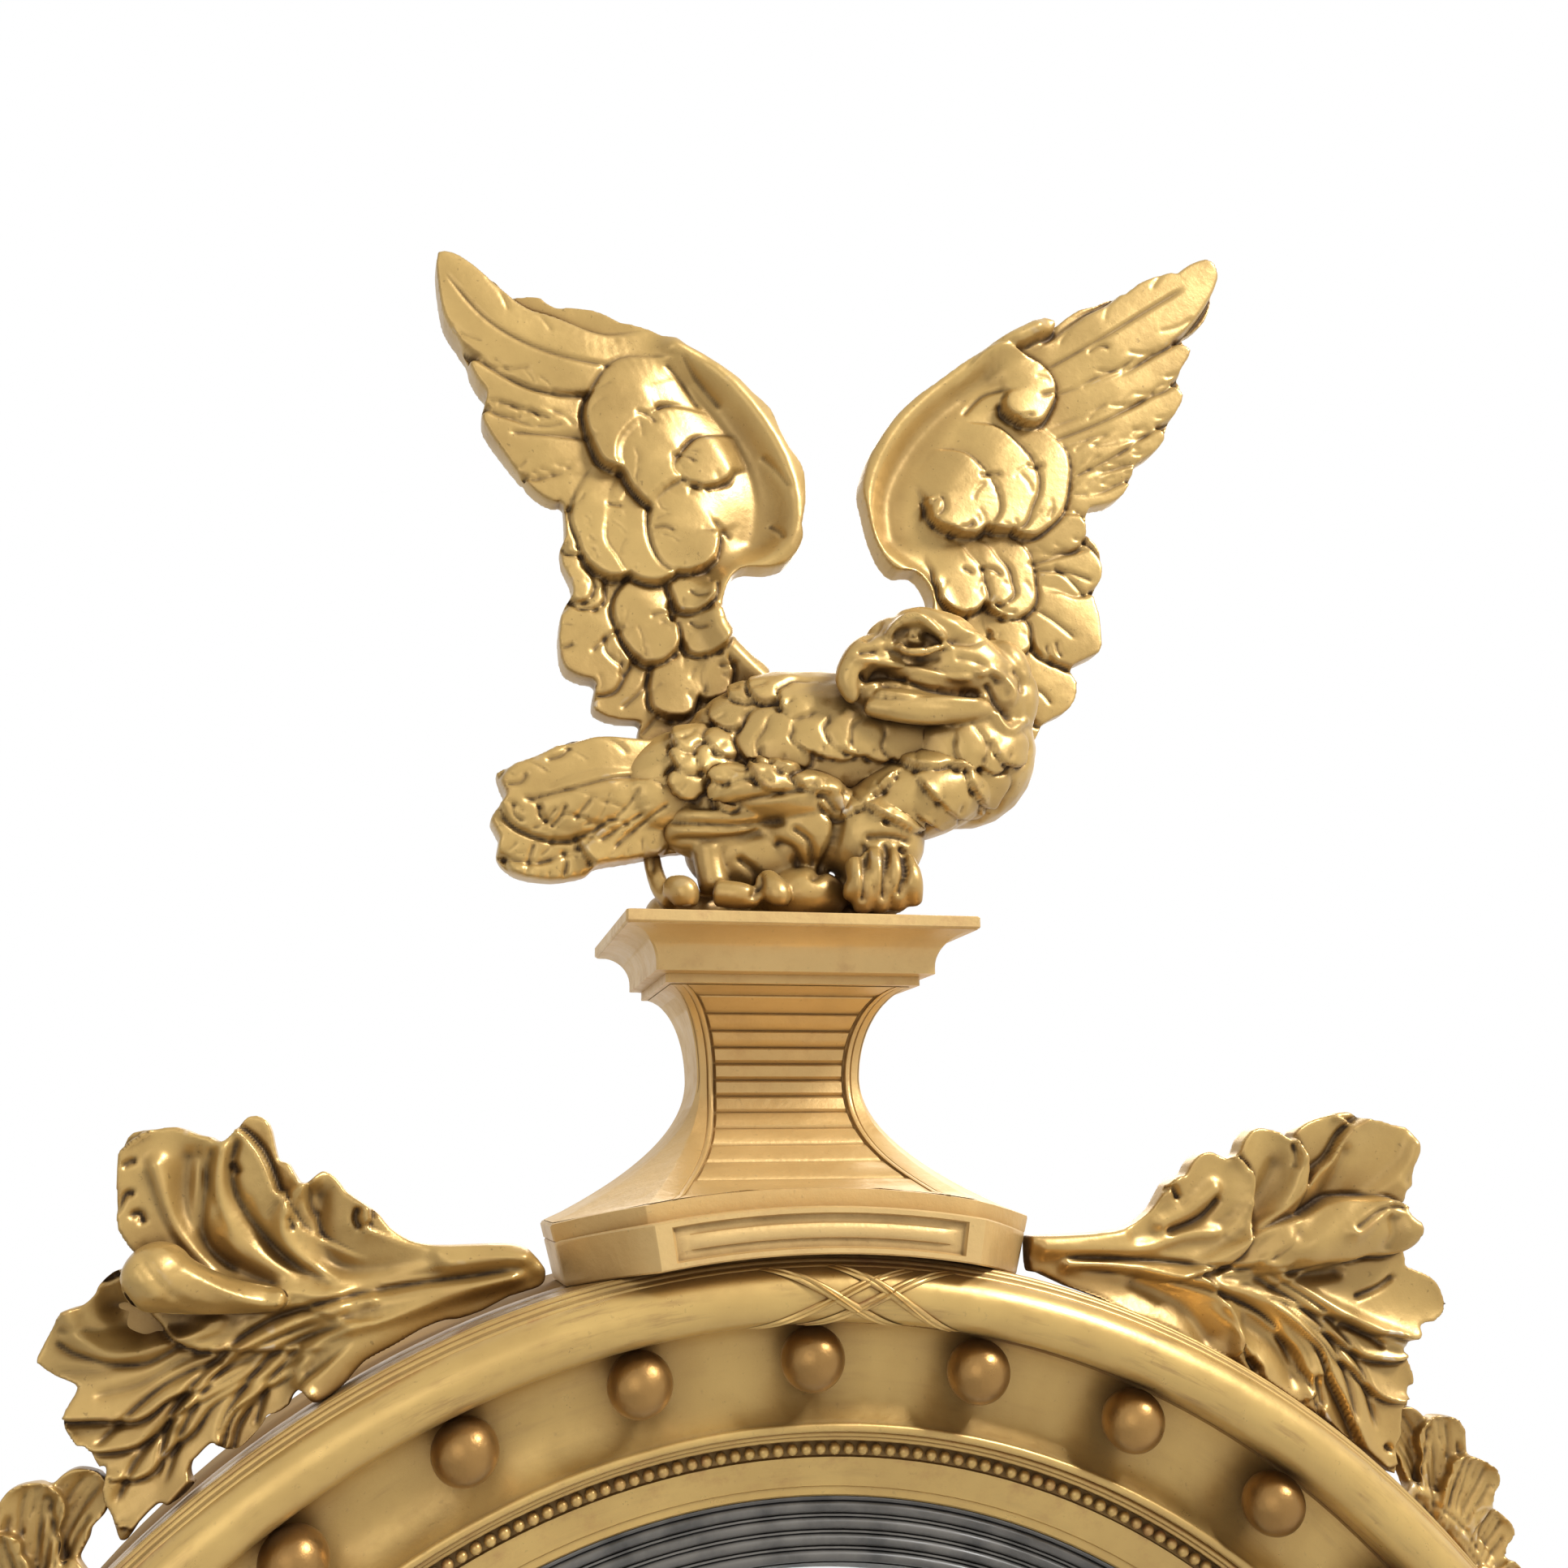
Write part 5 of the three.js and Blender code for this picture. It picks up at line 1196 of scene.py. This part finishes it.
def eagle_body():
    bm = bmesh.new()
    for (x, z), depth, half, tilt in TRUNK:
        lump(bm, seen(x, z, depth), half, tilt)
    for (x, z), depth, half, tilt in HEAD:
        lump(bm, seen(x, z, depth), half, tilt)

    def rope(points, depth, radii):
        tube(bm, [seen(x, z, d) for (x, z), d in zip(points, depth)], radii)

    rope([(49, 631), (38, 629), (31, 622), (28, 614), (31, 604)], [94, 95, 96, 97, 98], [8, 8, 7, 5.5, 2.5])
    rope([(35, 603), (48, 602), (66, 602), (84, 604), (96, 604)], [97, 100, 101, 99, 94], [3.5, 5, 6, 6, 5])
    rope([(92, 634), (104, 628), (114, 618), (117, 606)], [94, 91, 86, 82], [3, 4, 4.5, 3])
    brow = [(47, 634), (53, 643), (63, 645), (73, 639), (78, 633)]
    rope(brow, [100, 103, 104, 103, 101], [1.4, 2.4, 2.8, 2.2, 1.2])
    rope([(49, 633), (56, 630), (65, 630), (74, 634)], [101, 103, 103, 102], [1.0, 1.6, 1.6, 1.0])
    lump(bm, seen(60, 637, 99), (5.2, 5, 5.2))

    # Legs and feet: the near fist with four ridged toes, the far leg, its long toe and claws.
    for x, top, low in ((32, 528, 508), (40, 532, 508), (48, 532, 509), (55, 530, 512)):
        rope([(x - 3, top + 4), (x, top - 6), (x + 1, low)], [94, 101, 97], [4.5, 5.5, 4.0])
    rope([(24, 520), (36, 517), (52, 512)], [98, 98, 92], [5, 6, 4])
    rope([(-36, 548), (-36, 532), (-33, 516)], [78, 76, 78], [9, 7, 7])
    rope([(-58, 552), (-61, 534), (-57, 518), (-50, 512)], [66, 66, 72, 78], [5, 4, 4.5, 6])
    rope([(-60, 540), (-50, 537), (-40, 534)], [68, 70, 72], [4, 4, 5])
    rope([(-34, 516), (-22, 515), (-13, 514)], [84, 88, 88], [6, 6, 4])
    rope([(-12, 524), (-6, 516), (-6, 511)], [84, 92, 92], [5, 6.5, 4])
    rope([(-54, 518), (-47, 516), (-46, 509)], [78, 84, 84], [5, 7, 5])
    for x, depth in ((-40, 60), (6, 64), (-20, 52), (36, 56)):
        lump(bm, Vector((x, -depth, 511)), (20, 16, 11))
    lump(bm, seen(6, 515, 76), (20, 18, 13))

    plumage = [(spine, width, 0.4, 3.4, 1.2) for spine, width in SCALES]
    strokes = list(FACE)
    for spine, width in SCALES:
        strokes.append(([spine[-1], tuple((a + b) / 2 for a, b in zip(spine[-1], spine[-2]))], 0.9, 0.9))
    mesh = carved(fused(bm, VOXEL * 1.15, 3), plumage, strokes, READ_BODY)
    behind = [(spine, width, 0.4, 2.2, 1.2) for spine, width in SCALES]
    mesh = trimmed(carved(mesh, behind, facing=-1), PERCH)
    piece("body of the eagle", mesh, burnished, "eagle_body", crease=0)


def trimmed(mesh, height):
    """Flattens what hangs below a height onto it."""
    for vert in mesh.vertices:
        vert.co.z = max(vert.co.z, height)
    return mesh


TAIL_OUTLINE = [
    (-54, 587), (-69, 587), (-82, 587), (-95, 585), (-104, 580), (-111, 576), (-119, 573), (-127, 569), (-125, 563),
    (-123, 558), (-127, 552), (-129, 547), (-125, 540), (-126, 532), (-121, 526), (-113, 523), (-102, 522),
    (-95, 523), (-87, 525), (-83, 529), (-73, 531), (-63, 533), (-50, 536), (-37, 542), (-34, 582),
]
TAIL_FEATHERS = [
    ([(-45, 581), (-75, 582), (-97, 581), (-114, 570)], 16, 0.0, 1, 0.8),
    ([(-45, 576), (-79, 577), (-106, 570), (-128, 565)], 20, 1.1, 1, 1.2),
    ([(-52, 546), (-68, 539), (-87, 527), (-91, 522)], 30, 0.0, 1, 1.2),
    ([(-55, 549), (-79, 536), (-96, 529), (-102, 520)], 26, 1.1, 2, 1.6),
    ([(-58, 553), (-87, 540), (-106, 531), (-116, 521)], 28, 2.2, 2, 1.6),
    ([(-63, 556), (-95, 548), (-115, 544), (-131, 543)], 28, 3.3, 2, 1.6),
    ([(-38, 562), (-58, 553), (-74, 542), (-85, 530)], 34, 4.4, 2, 2.0),
    ([(-42, 573), (-74, 570), (-100, 561), (-126, 557)], 41, 5.5, 3, 2.4),
]
TAIL_DASHES = [
    [(-57, 570), (-79, 566), (-98, 560), (-116, 555)], [(-52, 556), (-64, 547), (-76, 536)],
    [(-63, 552), (-72, 546), (-82, 539)], [(-120, 554), (-119, 549), (-115, 546)],
    [(-109, 554), (-108, 549), (-104, 546)], [(-97, 554), (-100, 548), (-104, 544)], [(-87, 556), (-93, 548)],
    [(-114, 568), (-117, 563), (-124, 562)], [(-95, 581), (-100, 576), (-106, 574)],
    [(-110, 538), (-112, 531), (-113, 523)], [(-98, 535), (-96, 529), (-97, 522)],
]


def eagle_tail():
    bm = bmesh.new()
    plate(bm, TAIL_OUTLINE, 62, 71)
    lump(bm, seen(-52, 558, 66), (26, 14, 19), 12)
    lump(bm, seen(-80, 552, 66), (40, 9, 18), 8)
    strokes = dashes(TAIL_DASHES)
    for spine, width, *_ in TAIL_FEATHERS[2:]:
        strokes += barbs(spine, width, 4, (0.4, 0.95), depth=1.0)
    mesh = carved(fused(bm, VOXEL, 4), TAIL_FEATHERS, strokes)
    mesh = carved(mesh, lowered(TAIL_FEATHERS, 0.5), facing=-1)
    piece("tail of the eagle", mesh, burnished, "eagle_tail", crease=0)


# ---------- Acanthus ----------

# Places were read off the plane at depth 98. A lobe is written like a feather, a fold like a stroke.
LEFT_LEAF_OUTLINE = [
    (-103, 362), (-103, 358), (-106, 355), (-117, 352), (-127, 347), (-137, 344), (-141, 344), (-150, 341),
    (-161, 335), (-171, 330), (-177, 323), (-182, 319), (-188, 316), (-192, 319), (-194, 321), (-197, 318),
    (-198, 315), (-203, 312), (-206, 312), (-207, 309), (-211, 304), (-216, 300), (-222, 301), (-225, 303),
    (-230, 298), (-232, 296), (-232, 291), (-230, 289), (-235, 284), (-239, 282), (-242, 283), (-249, 276),
    (-252, 271), (-255, 271), (-258, 279), (-261, 284), (-262, 289), (-261, 297), (-264, 296), (-268, 303),
    (-272, 304), (-277, 310), (-277, 316), (-274, 322), (-274, 325), (-281, 328), (-288, 333), (-288, 336),
    (-284, 345), (-281, 351), (-274, 353), (-270, 357), (-269, 360), (-264, 365), (-255, 368), (-259, 374),
    (-263, 380), (-264, 387), (-265, 403), (-264, 411), (-261, 416), (-253, 417), (-245, 418), (-237, 415),
    (-232, 414), (-228, 412), (-223, 417), (-219, 422), (-213, 421), (-210, 416), (-207, 405), (-203, 404),
    (-198, 396), (-194, 398), (-190, 401), (-185, 398), (-181, 393), (-175, 389), (-168, 384), (-164, 379),
    (-156, 374), (-147, 372), (-133, 372), (-119, 372), (-110, 370),
]
LEFT_LOBES = [
    ([(-130, 355), (-159, 345), (-182, 333), (-188, 316)], 35, 1.2, 3.9, 5.4),
    ([(-176, 344), (-199, 334), (-213, 318), (-218, 300)], 31, 0.0, 3.9, -5.4),
    ([(-176, 346), (-207, 338), (-226, 322), (-231, 304)], 26, 1.2, 2.6, -4.1),
    ([(-186, 341), (-217, 329), (-232, 309), (-237, 284)], 30, 0.0, 3.9, -5.4),
    ([(-188, 341), (-224, 327), (-242, 306), (-258, 277)], 37, 2.4, 3.9, -5.4),
    ([(-195, 341), (-231, 327), (-251, 310), (-265, 296)], 31, 1.2, 2.6, -4.1),
    ([(-201, 343), (-238, 330), (-258, 321), (-277, 311)], 37, 2.4, 2.6, -5.4),
    ([(-205, 345), (-238, 341), (-262, 337), (-289, 337)], 51, 3.6, 3.9, -6.8),
    ([(-144, 361), (-175, 362), (-190, 375), (-190, 402)], 42, 2.4, 5.2, -6.8),
    ([(-170, 357), (-198, 365), (-212, 383), (-217, 423)], 37, 1.2, 5.2, -5.4),
    ([(-176, 352), (-208, 359), (-232, 376), (-250, 419)], 65, 3.6, 7.8, -5.4),
]
LEFT_FOLDS = [
    (
        [(-112, 367), (-144, 364), (-170, 360), (-189, 362), (-200, 372), (-204, 381), (-201, 391), (-194, 398)],
        3.4, -4.0,
    ),
    ([(-113, 360), (-150, 355), (-182, 349), (-207, 340), (-224, 330), (-237, 311)], 3.4, -3.4),
    ([(-170, 354), (-196, 358), (-217, 371), (-224, 381), (-228, 393), (-227, 409)], 3.2, -3.4),
    ([(-182, 352), (-208, 355), (-226, 363), (-242, 381), (-251, 403)], 4.5, -4.5),
    ([(-225, 346), (-244, 338), (-262, 335), (-274, 342), (-279, 351)], 3.4, -3.4),
    ([(-117, 359), (-150, 350), (-174, 344), (-188, 338), (-195, 326), (-191, 319)], 3.0, -3.0),
    ([(-106, 363), (-120, 369), (-144, 369)], 4.0, -3.0),
    ([(-113, 362), (-150, 358), (-182, 353), (-208, 345), (-224, 333), (-240, 313), (-243, 288)], 1.3, 3.2),
    ([(-146, 363), (-176, 362), (-189, 374), (-191, 391)], 4, 3.2),
    ([(-183, 358), (-204, 370), (-218, 386), (-224, 402), (-221, 415)], 2.0, 3.0),
    ([(-208, 358), (-227, 368), (-240, 385), (-240, 406)], 4.5, 4.0),
    ([(-219, 363), (-232, 375), (-233, 397), (-231, 411)], 2.0, 2.4),
    ([(-258, 354), (-250, 348), (-240, 346)], 7.0, 7.0), ([(-266, 358), (-262, 348), (-253, 343)], 5.0, 5.0),
    ([(-235, 340), (-252, 331), (-274, 335), (-283, 341)], 1.3, 2.0),
    ([(-188, 345), (-217, 333), (-233, 314), (-241, 288)], 1.3, 2.4),
    ([(-207, 335), (-233, 321), (-250, 300), (-257, 283)], 1.5, 2.4),
    ([(-219, 333), (-243, 324), (-266, 303)], 1.3, 2.4),
    ([(-178, 344), (-204, 334), (-219, 315), (-222, 303)], 1.3, 2.4),
    ([(-194, 337), (-206, 323), (-210, 307)], 1.3, 2.0), ([(-176, 387), (-177, 383), (-175, 379)], 1.2, 4.0),
    ([(-264, 386), (-261, 393), (-258, 393)], 1.2, 2.4), ([(-263, 403), (-260, 405), (-258, 405)], 1.2, 2.0),
    ([(-259, 385), (-256, 386), (-254, 382)], 1.2, 2.4), ([(-224, 404), (-222, 402), (-221, 400)], 1.2, 3.0),
    ([(-202, 384), (-200, 381), (-201, 379)], 1.2, 2.4),
]

RIGHT_LEAF_OUTLINE = [
    (100, 371), (114, 371), (136, 372), (146, 374), (152, 377), (158, 382), (164, 391), (170, 395), (173, 395),
    (176, 400), (181, 404), (187, 405), (193, 402), (196, 403), (199, 404), (201, 409), (206, 414), (212, 415),
    (219, 413), (225, 409), (227, 413), (233, 417), (243, 420), (255, 422), (260, 419), (267, 418), (275, 416),
    (281, 415), (285, 410), (286, 404), (282, 397), (281, 389), (277, 387), (276, 382), (270, 379), (275, 374),
    (275, 369), (273, 363), (275, 358), (275, 355), (283, 352), (289, 348), (292, 341), (292, 336), (286, 331),
    (279, 330), (279, 326), (274, 322), (269, 320), (272, 318), (275, 309), (275, 305), (272, 304), (271, 297),
    (267, 296), (266, 285), (263, 280), (263, 275), (262, 269), (251, 277), (242, 284), (229, 294), (222, 298),
    (211, 305), (199, 312), (192, 317), (188, 319), (175, 325), (170, 328), (159, 333), (145, 338), (131, 345),
    (117, 350), (104, 356), (100, 357),
]
RIGHT_LOBES = [
    ([(106, 357), (141, 351), (170, 340), (190, 318)], 30, 0.0, 3.9, -5.4),
    ([(182, 349), (201, 337), (216, 320), (221, 300)], 31, 1.2, 3.9, -5.4),
    ([(184, 352), (219, 340), (239, 318), (242, 285)], 31, 0.0, 3.9, -5.4),
    ([(200, 354), (234, 336), (251, 312), (261, 272)], 31, 2.4, 2.6, -4.1),
    ([(206, 354), (234, 339), (255, 323), (274, 301)], 30, 1.2, 3.9, -5.4),
    ([(213, 352), (234, 340), (256, 330), (276, 322)], 26, 2.4, 2.6, -4.1),
    ([(198, 355), (235, 352), (265, 346), (292, 337)], 40, 3.6, 3.9, -5.4),
    ([(179, 355), (216, 373), (235, 394), (242, 422)], 42, 1.2, 5.2, -5.4),
    ([(177, 358), (198, 372), (210, 391), (211, 417)], 38, 3.6, 5.2, -6.8),
    ([(191, 355), (237, 373), (262, 392), (285, 418)], 45, 3.6, 7.8, -6.8),
    ([(134, 364), (163, 369), (181, 379), (189, 406)], 43, 2.4, 5.2, -6.8),
    ([(184, 358), (221, 365), (249, 372), (276, 371)], 26, 6.0, 9.1, 5.4),
]
RIGHT_FOLDS = [
    ([(116, 359), (148, 356), (176, 350), (199, 345), (217, 335), (227, 323), (230, 311)], 3.0, -3.6),
    ([(106, 365), (149, 365), (172, 370), (191, 372), (202, 382)], 3.2, -3.0),
    ([(177, 356), (201, 369), (220, 385), (227, 402)], 3.0, -3.4),
    ([(206, 357), (227, 344), (248, 333), (270, 323)], 3.0, -3.0), ([(190, 340), (194, 331), (191, 320)], 2.6, -3.0),
    ([(244, 370), (261, 384), (278, 397), (283, 407)], 3.6, -3.4), ([(161, 375), (173, 380), (186, 389)], 4.0, -4.0),
    ([(101, 369), (120, 369), (142, 370)], 4.0, -3.0), ([(275, 388), (269, 383), (261, 381)], 4.0, -3.0),
    ([(118, 357), (155, 353), (190, 344), (211, 332), (221, 313)], 1.3, 3.0),
    ([(113, 362), (141, 361), (171, 358), (200, 355), (220, 355)], 1.3, 3.0),
    ([(190, 372), (208, 385), (217, 399)], 4.5, 3.0), ([(163, 371), (180, 377), (189, 386)], 1.6, 3.4),
    ([(220, 355), (232, 352), (243, 353)], 3.0, 4.0), ([(263, 375), (263, 369), (261, 364)], 4.0, 3.0),
    ([(222, 370), (238, 384), (249, 404)], 4.0, 2.6), ([(243, 371), (258, 380), (270, 380)], 1.5, 3.0),
    ([(206, 355), (234, 337), (249, 315), (255, 287)], 1.5, 2.6),
    ([(200, 354), (228, 336), (241, 315), (245, 290)], 1.5, 2.6), ([(249, 342), (262, 346), (270, 351)], 1.4, 2.6),
    ([(241, 331), (252, 328), (262, 321)], 1.6, 3.0), ([(165, 391), (168, 388), (169, 385)], 1.4, 3.0),
    ([(198, 404), (201, 400), (203, 397)], 1.3, 2.4), ([(224, 409), (225, 403), (224, 397)], 1.3, 2.4),
    ([(198, 319), (199, 316), (201, 313)], 1.6, 4.0), ([(229, 311), (229, 306), (230, 297)], 1.8, 4.0),
    ([(150, 351), (170, 340), (180, 327)], 5.0, 3.0), ([(198, 332), (212, 324), (219, 311)], 5.0, 3.0),
    ([(258, 281), (260, 279), (260, 278)], 1.4, 3.0),
]

# The rolled knob is points of x, depth and z, with their radii.
LEFT_KNOB = [([(-200, 97, 353), (-220, 100, 355), (-237, 104, 359), (-247, 105, 363)], [4, 6.5, 10, 13])]

# Each lobe of the side leaf is its spine, its width, how far out its root and its tip stand, and its camber.
SIDE_LEAF = [
    ([(276, 246), (277, 272), (264, 294)], 22, -2, 3, -3), ([(278, 244), (286, 268), (284, 292)], 24, 0, 4, -3),
    ([(282, 236), (294, 258), (301, 274)], 24, 2, 5, -3), ([(288, 224), (300, 238), (309, 252)], 22, 0, 4, -3),
    ([(294, 208), (308, 220), (318, 226)], 20, 2, 4, -3), ([(300, 192), (314, 200), (322, 204)], 18, 0, 4, -2),
    ([(306, 178), (320, 180), (330, 174)], 16, 2, 3, -2), ([(296, 230), (306, 204), (318, 176)], 18, 3, 1, 2),
    ([(266, 262), (284, 246), (302, 216)], 22, 0, 0, 2),
]
SIDE_VEINS = [
    ([(268, 262), (284, 244), (302, 214), (314, 186)], 1.6, 2.2), ([(272, 262), (278, 278), (280, 288)], 1.3, 1.8),
]


def flipped(rows):
    """The same rows for the other side of the frame."""
    return [([(-x, z) for x, z in points], *rest) for points, *rest in rows]


def outside_frame(mesh, gap=0.3):
    """Moves what would reach into the round frame out to its edge."""
    least = FRAME_RADIUS + gap
    for vert in mesh.vertices:
        radius = math.hypot(vert.co.x, vert.co.z)
        if radius < least:
            vert.co.x *= least / radius
            vert.co.z *= least / radius
    return mesh


def hung(name, mesh, up=1):
    """Turns a leaf upside down where up is -1, and shows it."""
    if up < 0:
        mesh.transform(Matrix.Diagonal((1, 1, -1, 1)))
        mesh.flip_normals()
    piece(name.replace("_", " "), outside_frame(mesh), burnished, name, crease=0)


def leaf(name, outline, lobes, folds, knob=(), up=1):
    """A spray of hollowed lobes with rolled edges, that spring from one stem."""
    bm = bmesh.new()
    plate(bm, outline, LEAF_DEPTH - 9, LEAF_DEPTH)
    for points, radii in knob:
        line = [Vector((x, -d, z)) for x, d, z in points]
        tube(bm, line, radii, 20)
        lump(bm, line[-1], [radii[-1]] * 3)
    strokes = list(folds)
    for spine, width, *_ in lobes:
        if width > 50:
            strokes += flutes(spine, width, 2.0, 1.5)
    mesh = carved(fused(bm, VOXEL, 4), lobes, strokes, bulge=0.7, root=0.4, shadow=1.6)
    hung(name, mesh, up)


def side_leaf(name, lobes, veins):
    """A smaller spray of overlapping lobes."""
    bm = bmesh.new()
    strokes = list(veins)
    for spine, width, start, tip, hollow in lobes:
        tongue(bm, spine, width, LEAF_DEPTH + start, tip, hollow)
        strokes += flutes(spine, width, 1.2, 1.2)
    hung(name, carved(fused(bm, VOXEL, 2), (), strokes))


def drop():
    """The carved bud below the frame."""
    bm = bmesh.new()
    profile = [
        (14, 0), (14, 3), (16, 8), (15, 14), (11, 20), (12, 26),
        (18, 34), (20, 42), (17, 52), (11, 62), (6, 70), (1, 74),
    ]
    rings = []
    for i in range(45):
        share = i / 44
        r, fall = along([Vector(p) for p in profile], share)
        fall = min(fall, 74.0)
        flute = 1.0 if fall > 24 else 0.3
        ring = []
        for a in around(64):
            reach = r * (1 - 0.1 * flute * abs(math.sin(4 * a)) ** 0.7)
            ring.append(Vector((reach * math.cos(a), -LEAF_DEPTH - reach * math.sin(a), -367.3 - fall)))
        rings.append(ring)
    loft(bm, rings)
    piece("apron drop", bm, burnished, "apron_drop", crease=60)


hollow_moulding()
outer_torus()
beaded_slip()
pearls()
reeded_slip()
mirror_plate()
rear_rim()
backboard()
balls()
for i, spot in enumerate(BOARD_SCREWS):
    screw(f"board_screw_{i + 1}", spot, 0.0)
for i, spot in enumerate(HANGER_SCREWS):
    screw(f"hanger_screw_{i + 1}", spot, 5.8)
hanger()
plinth()
shaft()
cap()
wing("wing_left", LEFT_OUTLINE, LEFT_QUILLS, LEFT_COVERTS, LEFT_RIM, LEFT_DISH, LEFT_DASHES)
wing("wing_right", RIGHT_OUTLINE, RIGHT_QUILLS, RIGHT_COVERTS, RIGHT_RIM, RIGHT_DISH, RIGHT_DASHES)
eagle_body()
eagle_tail()
leaf("crest_leaf_left", LEFT_LEAF_OUTLINE, LEFT_LOBES, LEFT_FOLDS, LEFT_KNOB)
leaf("crest_leaf_right", RIGHT_LEAF_OUTLINE, RIGHT_LOBES, RIGHT_FOLDS)
leaf("apron_leaf_right", RIGHT_LEAF_OUTLINE, RIGHT_LOBES, RIGHT_FOLDS, up=-1)
leaf("apron_leaf_left", [(-x, z) for x, z in RIGHT_LEAF_OUTLINE], flipped(RIGHT_LOBES), flipped(RIGHT_FOLDS), up=-1)
side_leaf("side_leaf_right", SIDE_LEAF, SIDE_VEINS)
side_leaf("side_leaf_left", flipped(SIDE_LEAF), flipped(SIDE_VEINS))
drop()


# ---------- Stage, light and camera ----------

floor_mesh = bpy.data.meshes.new("floor")
bm = bmesh.new()
bmesh.ops.create_circle(bm, cap_ends=True, segments=96, radius=2.2)
bm.to_mesh(floor_mesh)
bm.free()
floor = bpy.data.objects.new("floor", floor_mesh)
floor.location.z = packed_bounds[0][2] - 0.001
bpy.context.scene.collection.objects.link(floor)
paper, paper_tree, paper_surface = material("Pale paper")
soft_tone = grain(paper_tree, add(paper_tree, "ShaderNodeTexCoord").outputs["Object"], 2.0)
paper_tree.links.new(
    blended(paper_tree, soft_tone, (0.86, 0.86, 0.86, 1), (0.9, 0.9, 0.9, 1)), paper_surface.inputs["Base Color"]
)
paper_surface.inputs["Roughness"].default_value = 0.9
floor_mesh.materials.append(paper)

world = bpy.data.worlds.new("Studio")
bpy.context.scene.world = world
world.use_nodes = True
sky = world.node_tree
background = sky.nodes["Background"]
rays = add(sky, "ShaderNodeLightPath").outputs
shown_rays = times(sky, rays["Is Camera Ray"], rays["Is Glossy Ray"], "MAXIMUM")
shown_rays = times(sky, shown_rays, rays["Is Transmission Ray"], "MAXIMUM")
sky.links.new(spread(sky, shown_rays, 0, 1, 0.22, 1.0), background.inputs["Strength"])
background.inputs["Color"].default_value = (1, 1, 1, 1)


def lamp(name, place, target, power, size):
    light = bpy.data.lights.new(name, "AREA")
    light.energy = power
    light.size = size
    shown = bpy.data.objects.new(name, light)
    shown.location = place
    shown.rotation_euler = (Vector(target) - Vector(place)).to_track_quat("-Z", "Y").to_euler()
    bpy.context.scene.collection.objects.link(shown)


lamp("key light", (1.7, -1.4, 2.3), (0, 0, 0.4), 88, 0.6)
lamp("fill light", (-1.2, -2.4, 0.9), (0, 0, 0.4), 9, 1.6)
lamp("back light", (0.6, 1.9, 1.6), (0, 0, 0.3), 22, 1.4)

camera = bpy.data.objects.new("camera", bpy.data.cameras.new("camera"))
camera.data.sensor_width = 36
camera.data.lens = 37.77
camera.data.clip_start, camera.data.clip_end = 0.01, 50
right, up = Vector((0.9762, -0.2164, -0.0114)), Vector((-0.039, -0.2272, 0.9731))
ahead = Vector((0.2132, 0.9495, 0.2302))
camera.matrix_world = Matrix.Translation(EYE * 0.001) @ Matrix((right, up, -ahead)).transposed().to_4x4()
bpy.context.scene.collection.objects.link(camera)
bpy.context.scene.camera = camera

bpy.context.scene.view_settings.view_transform = "Standard"
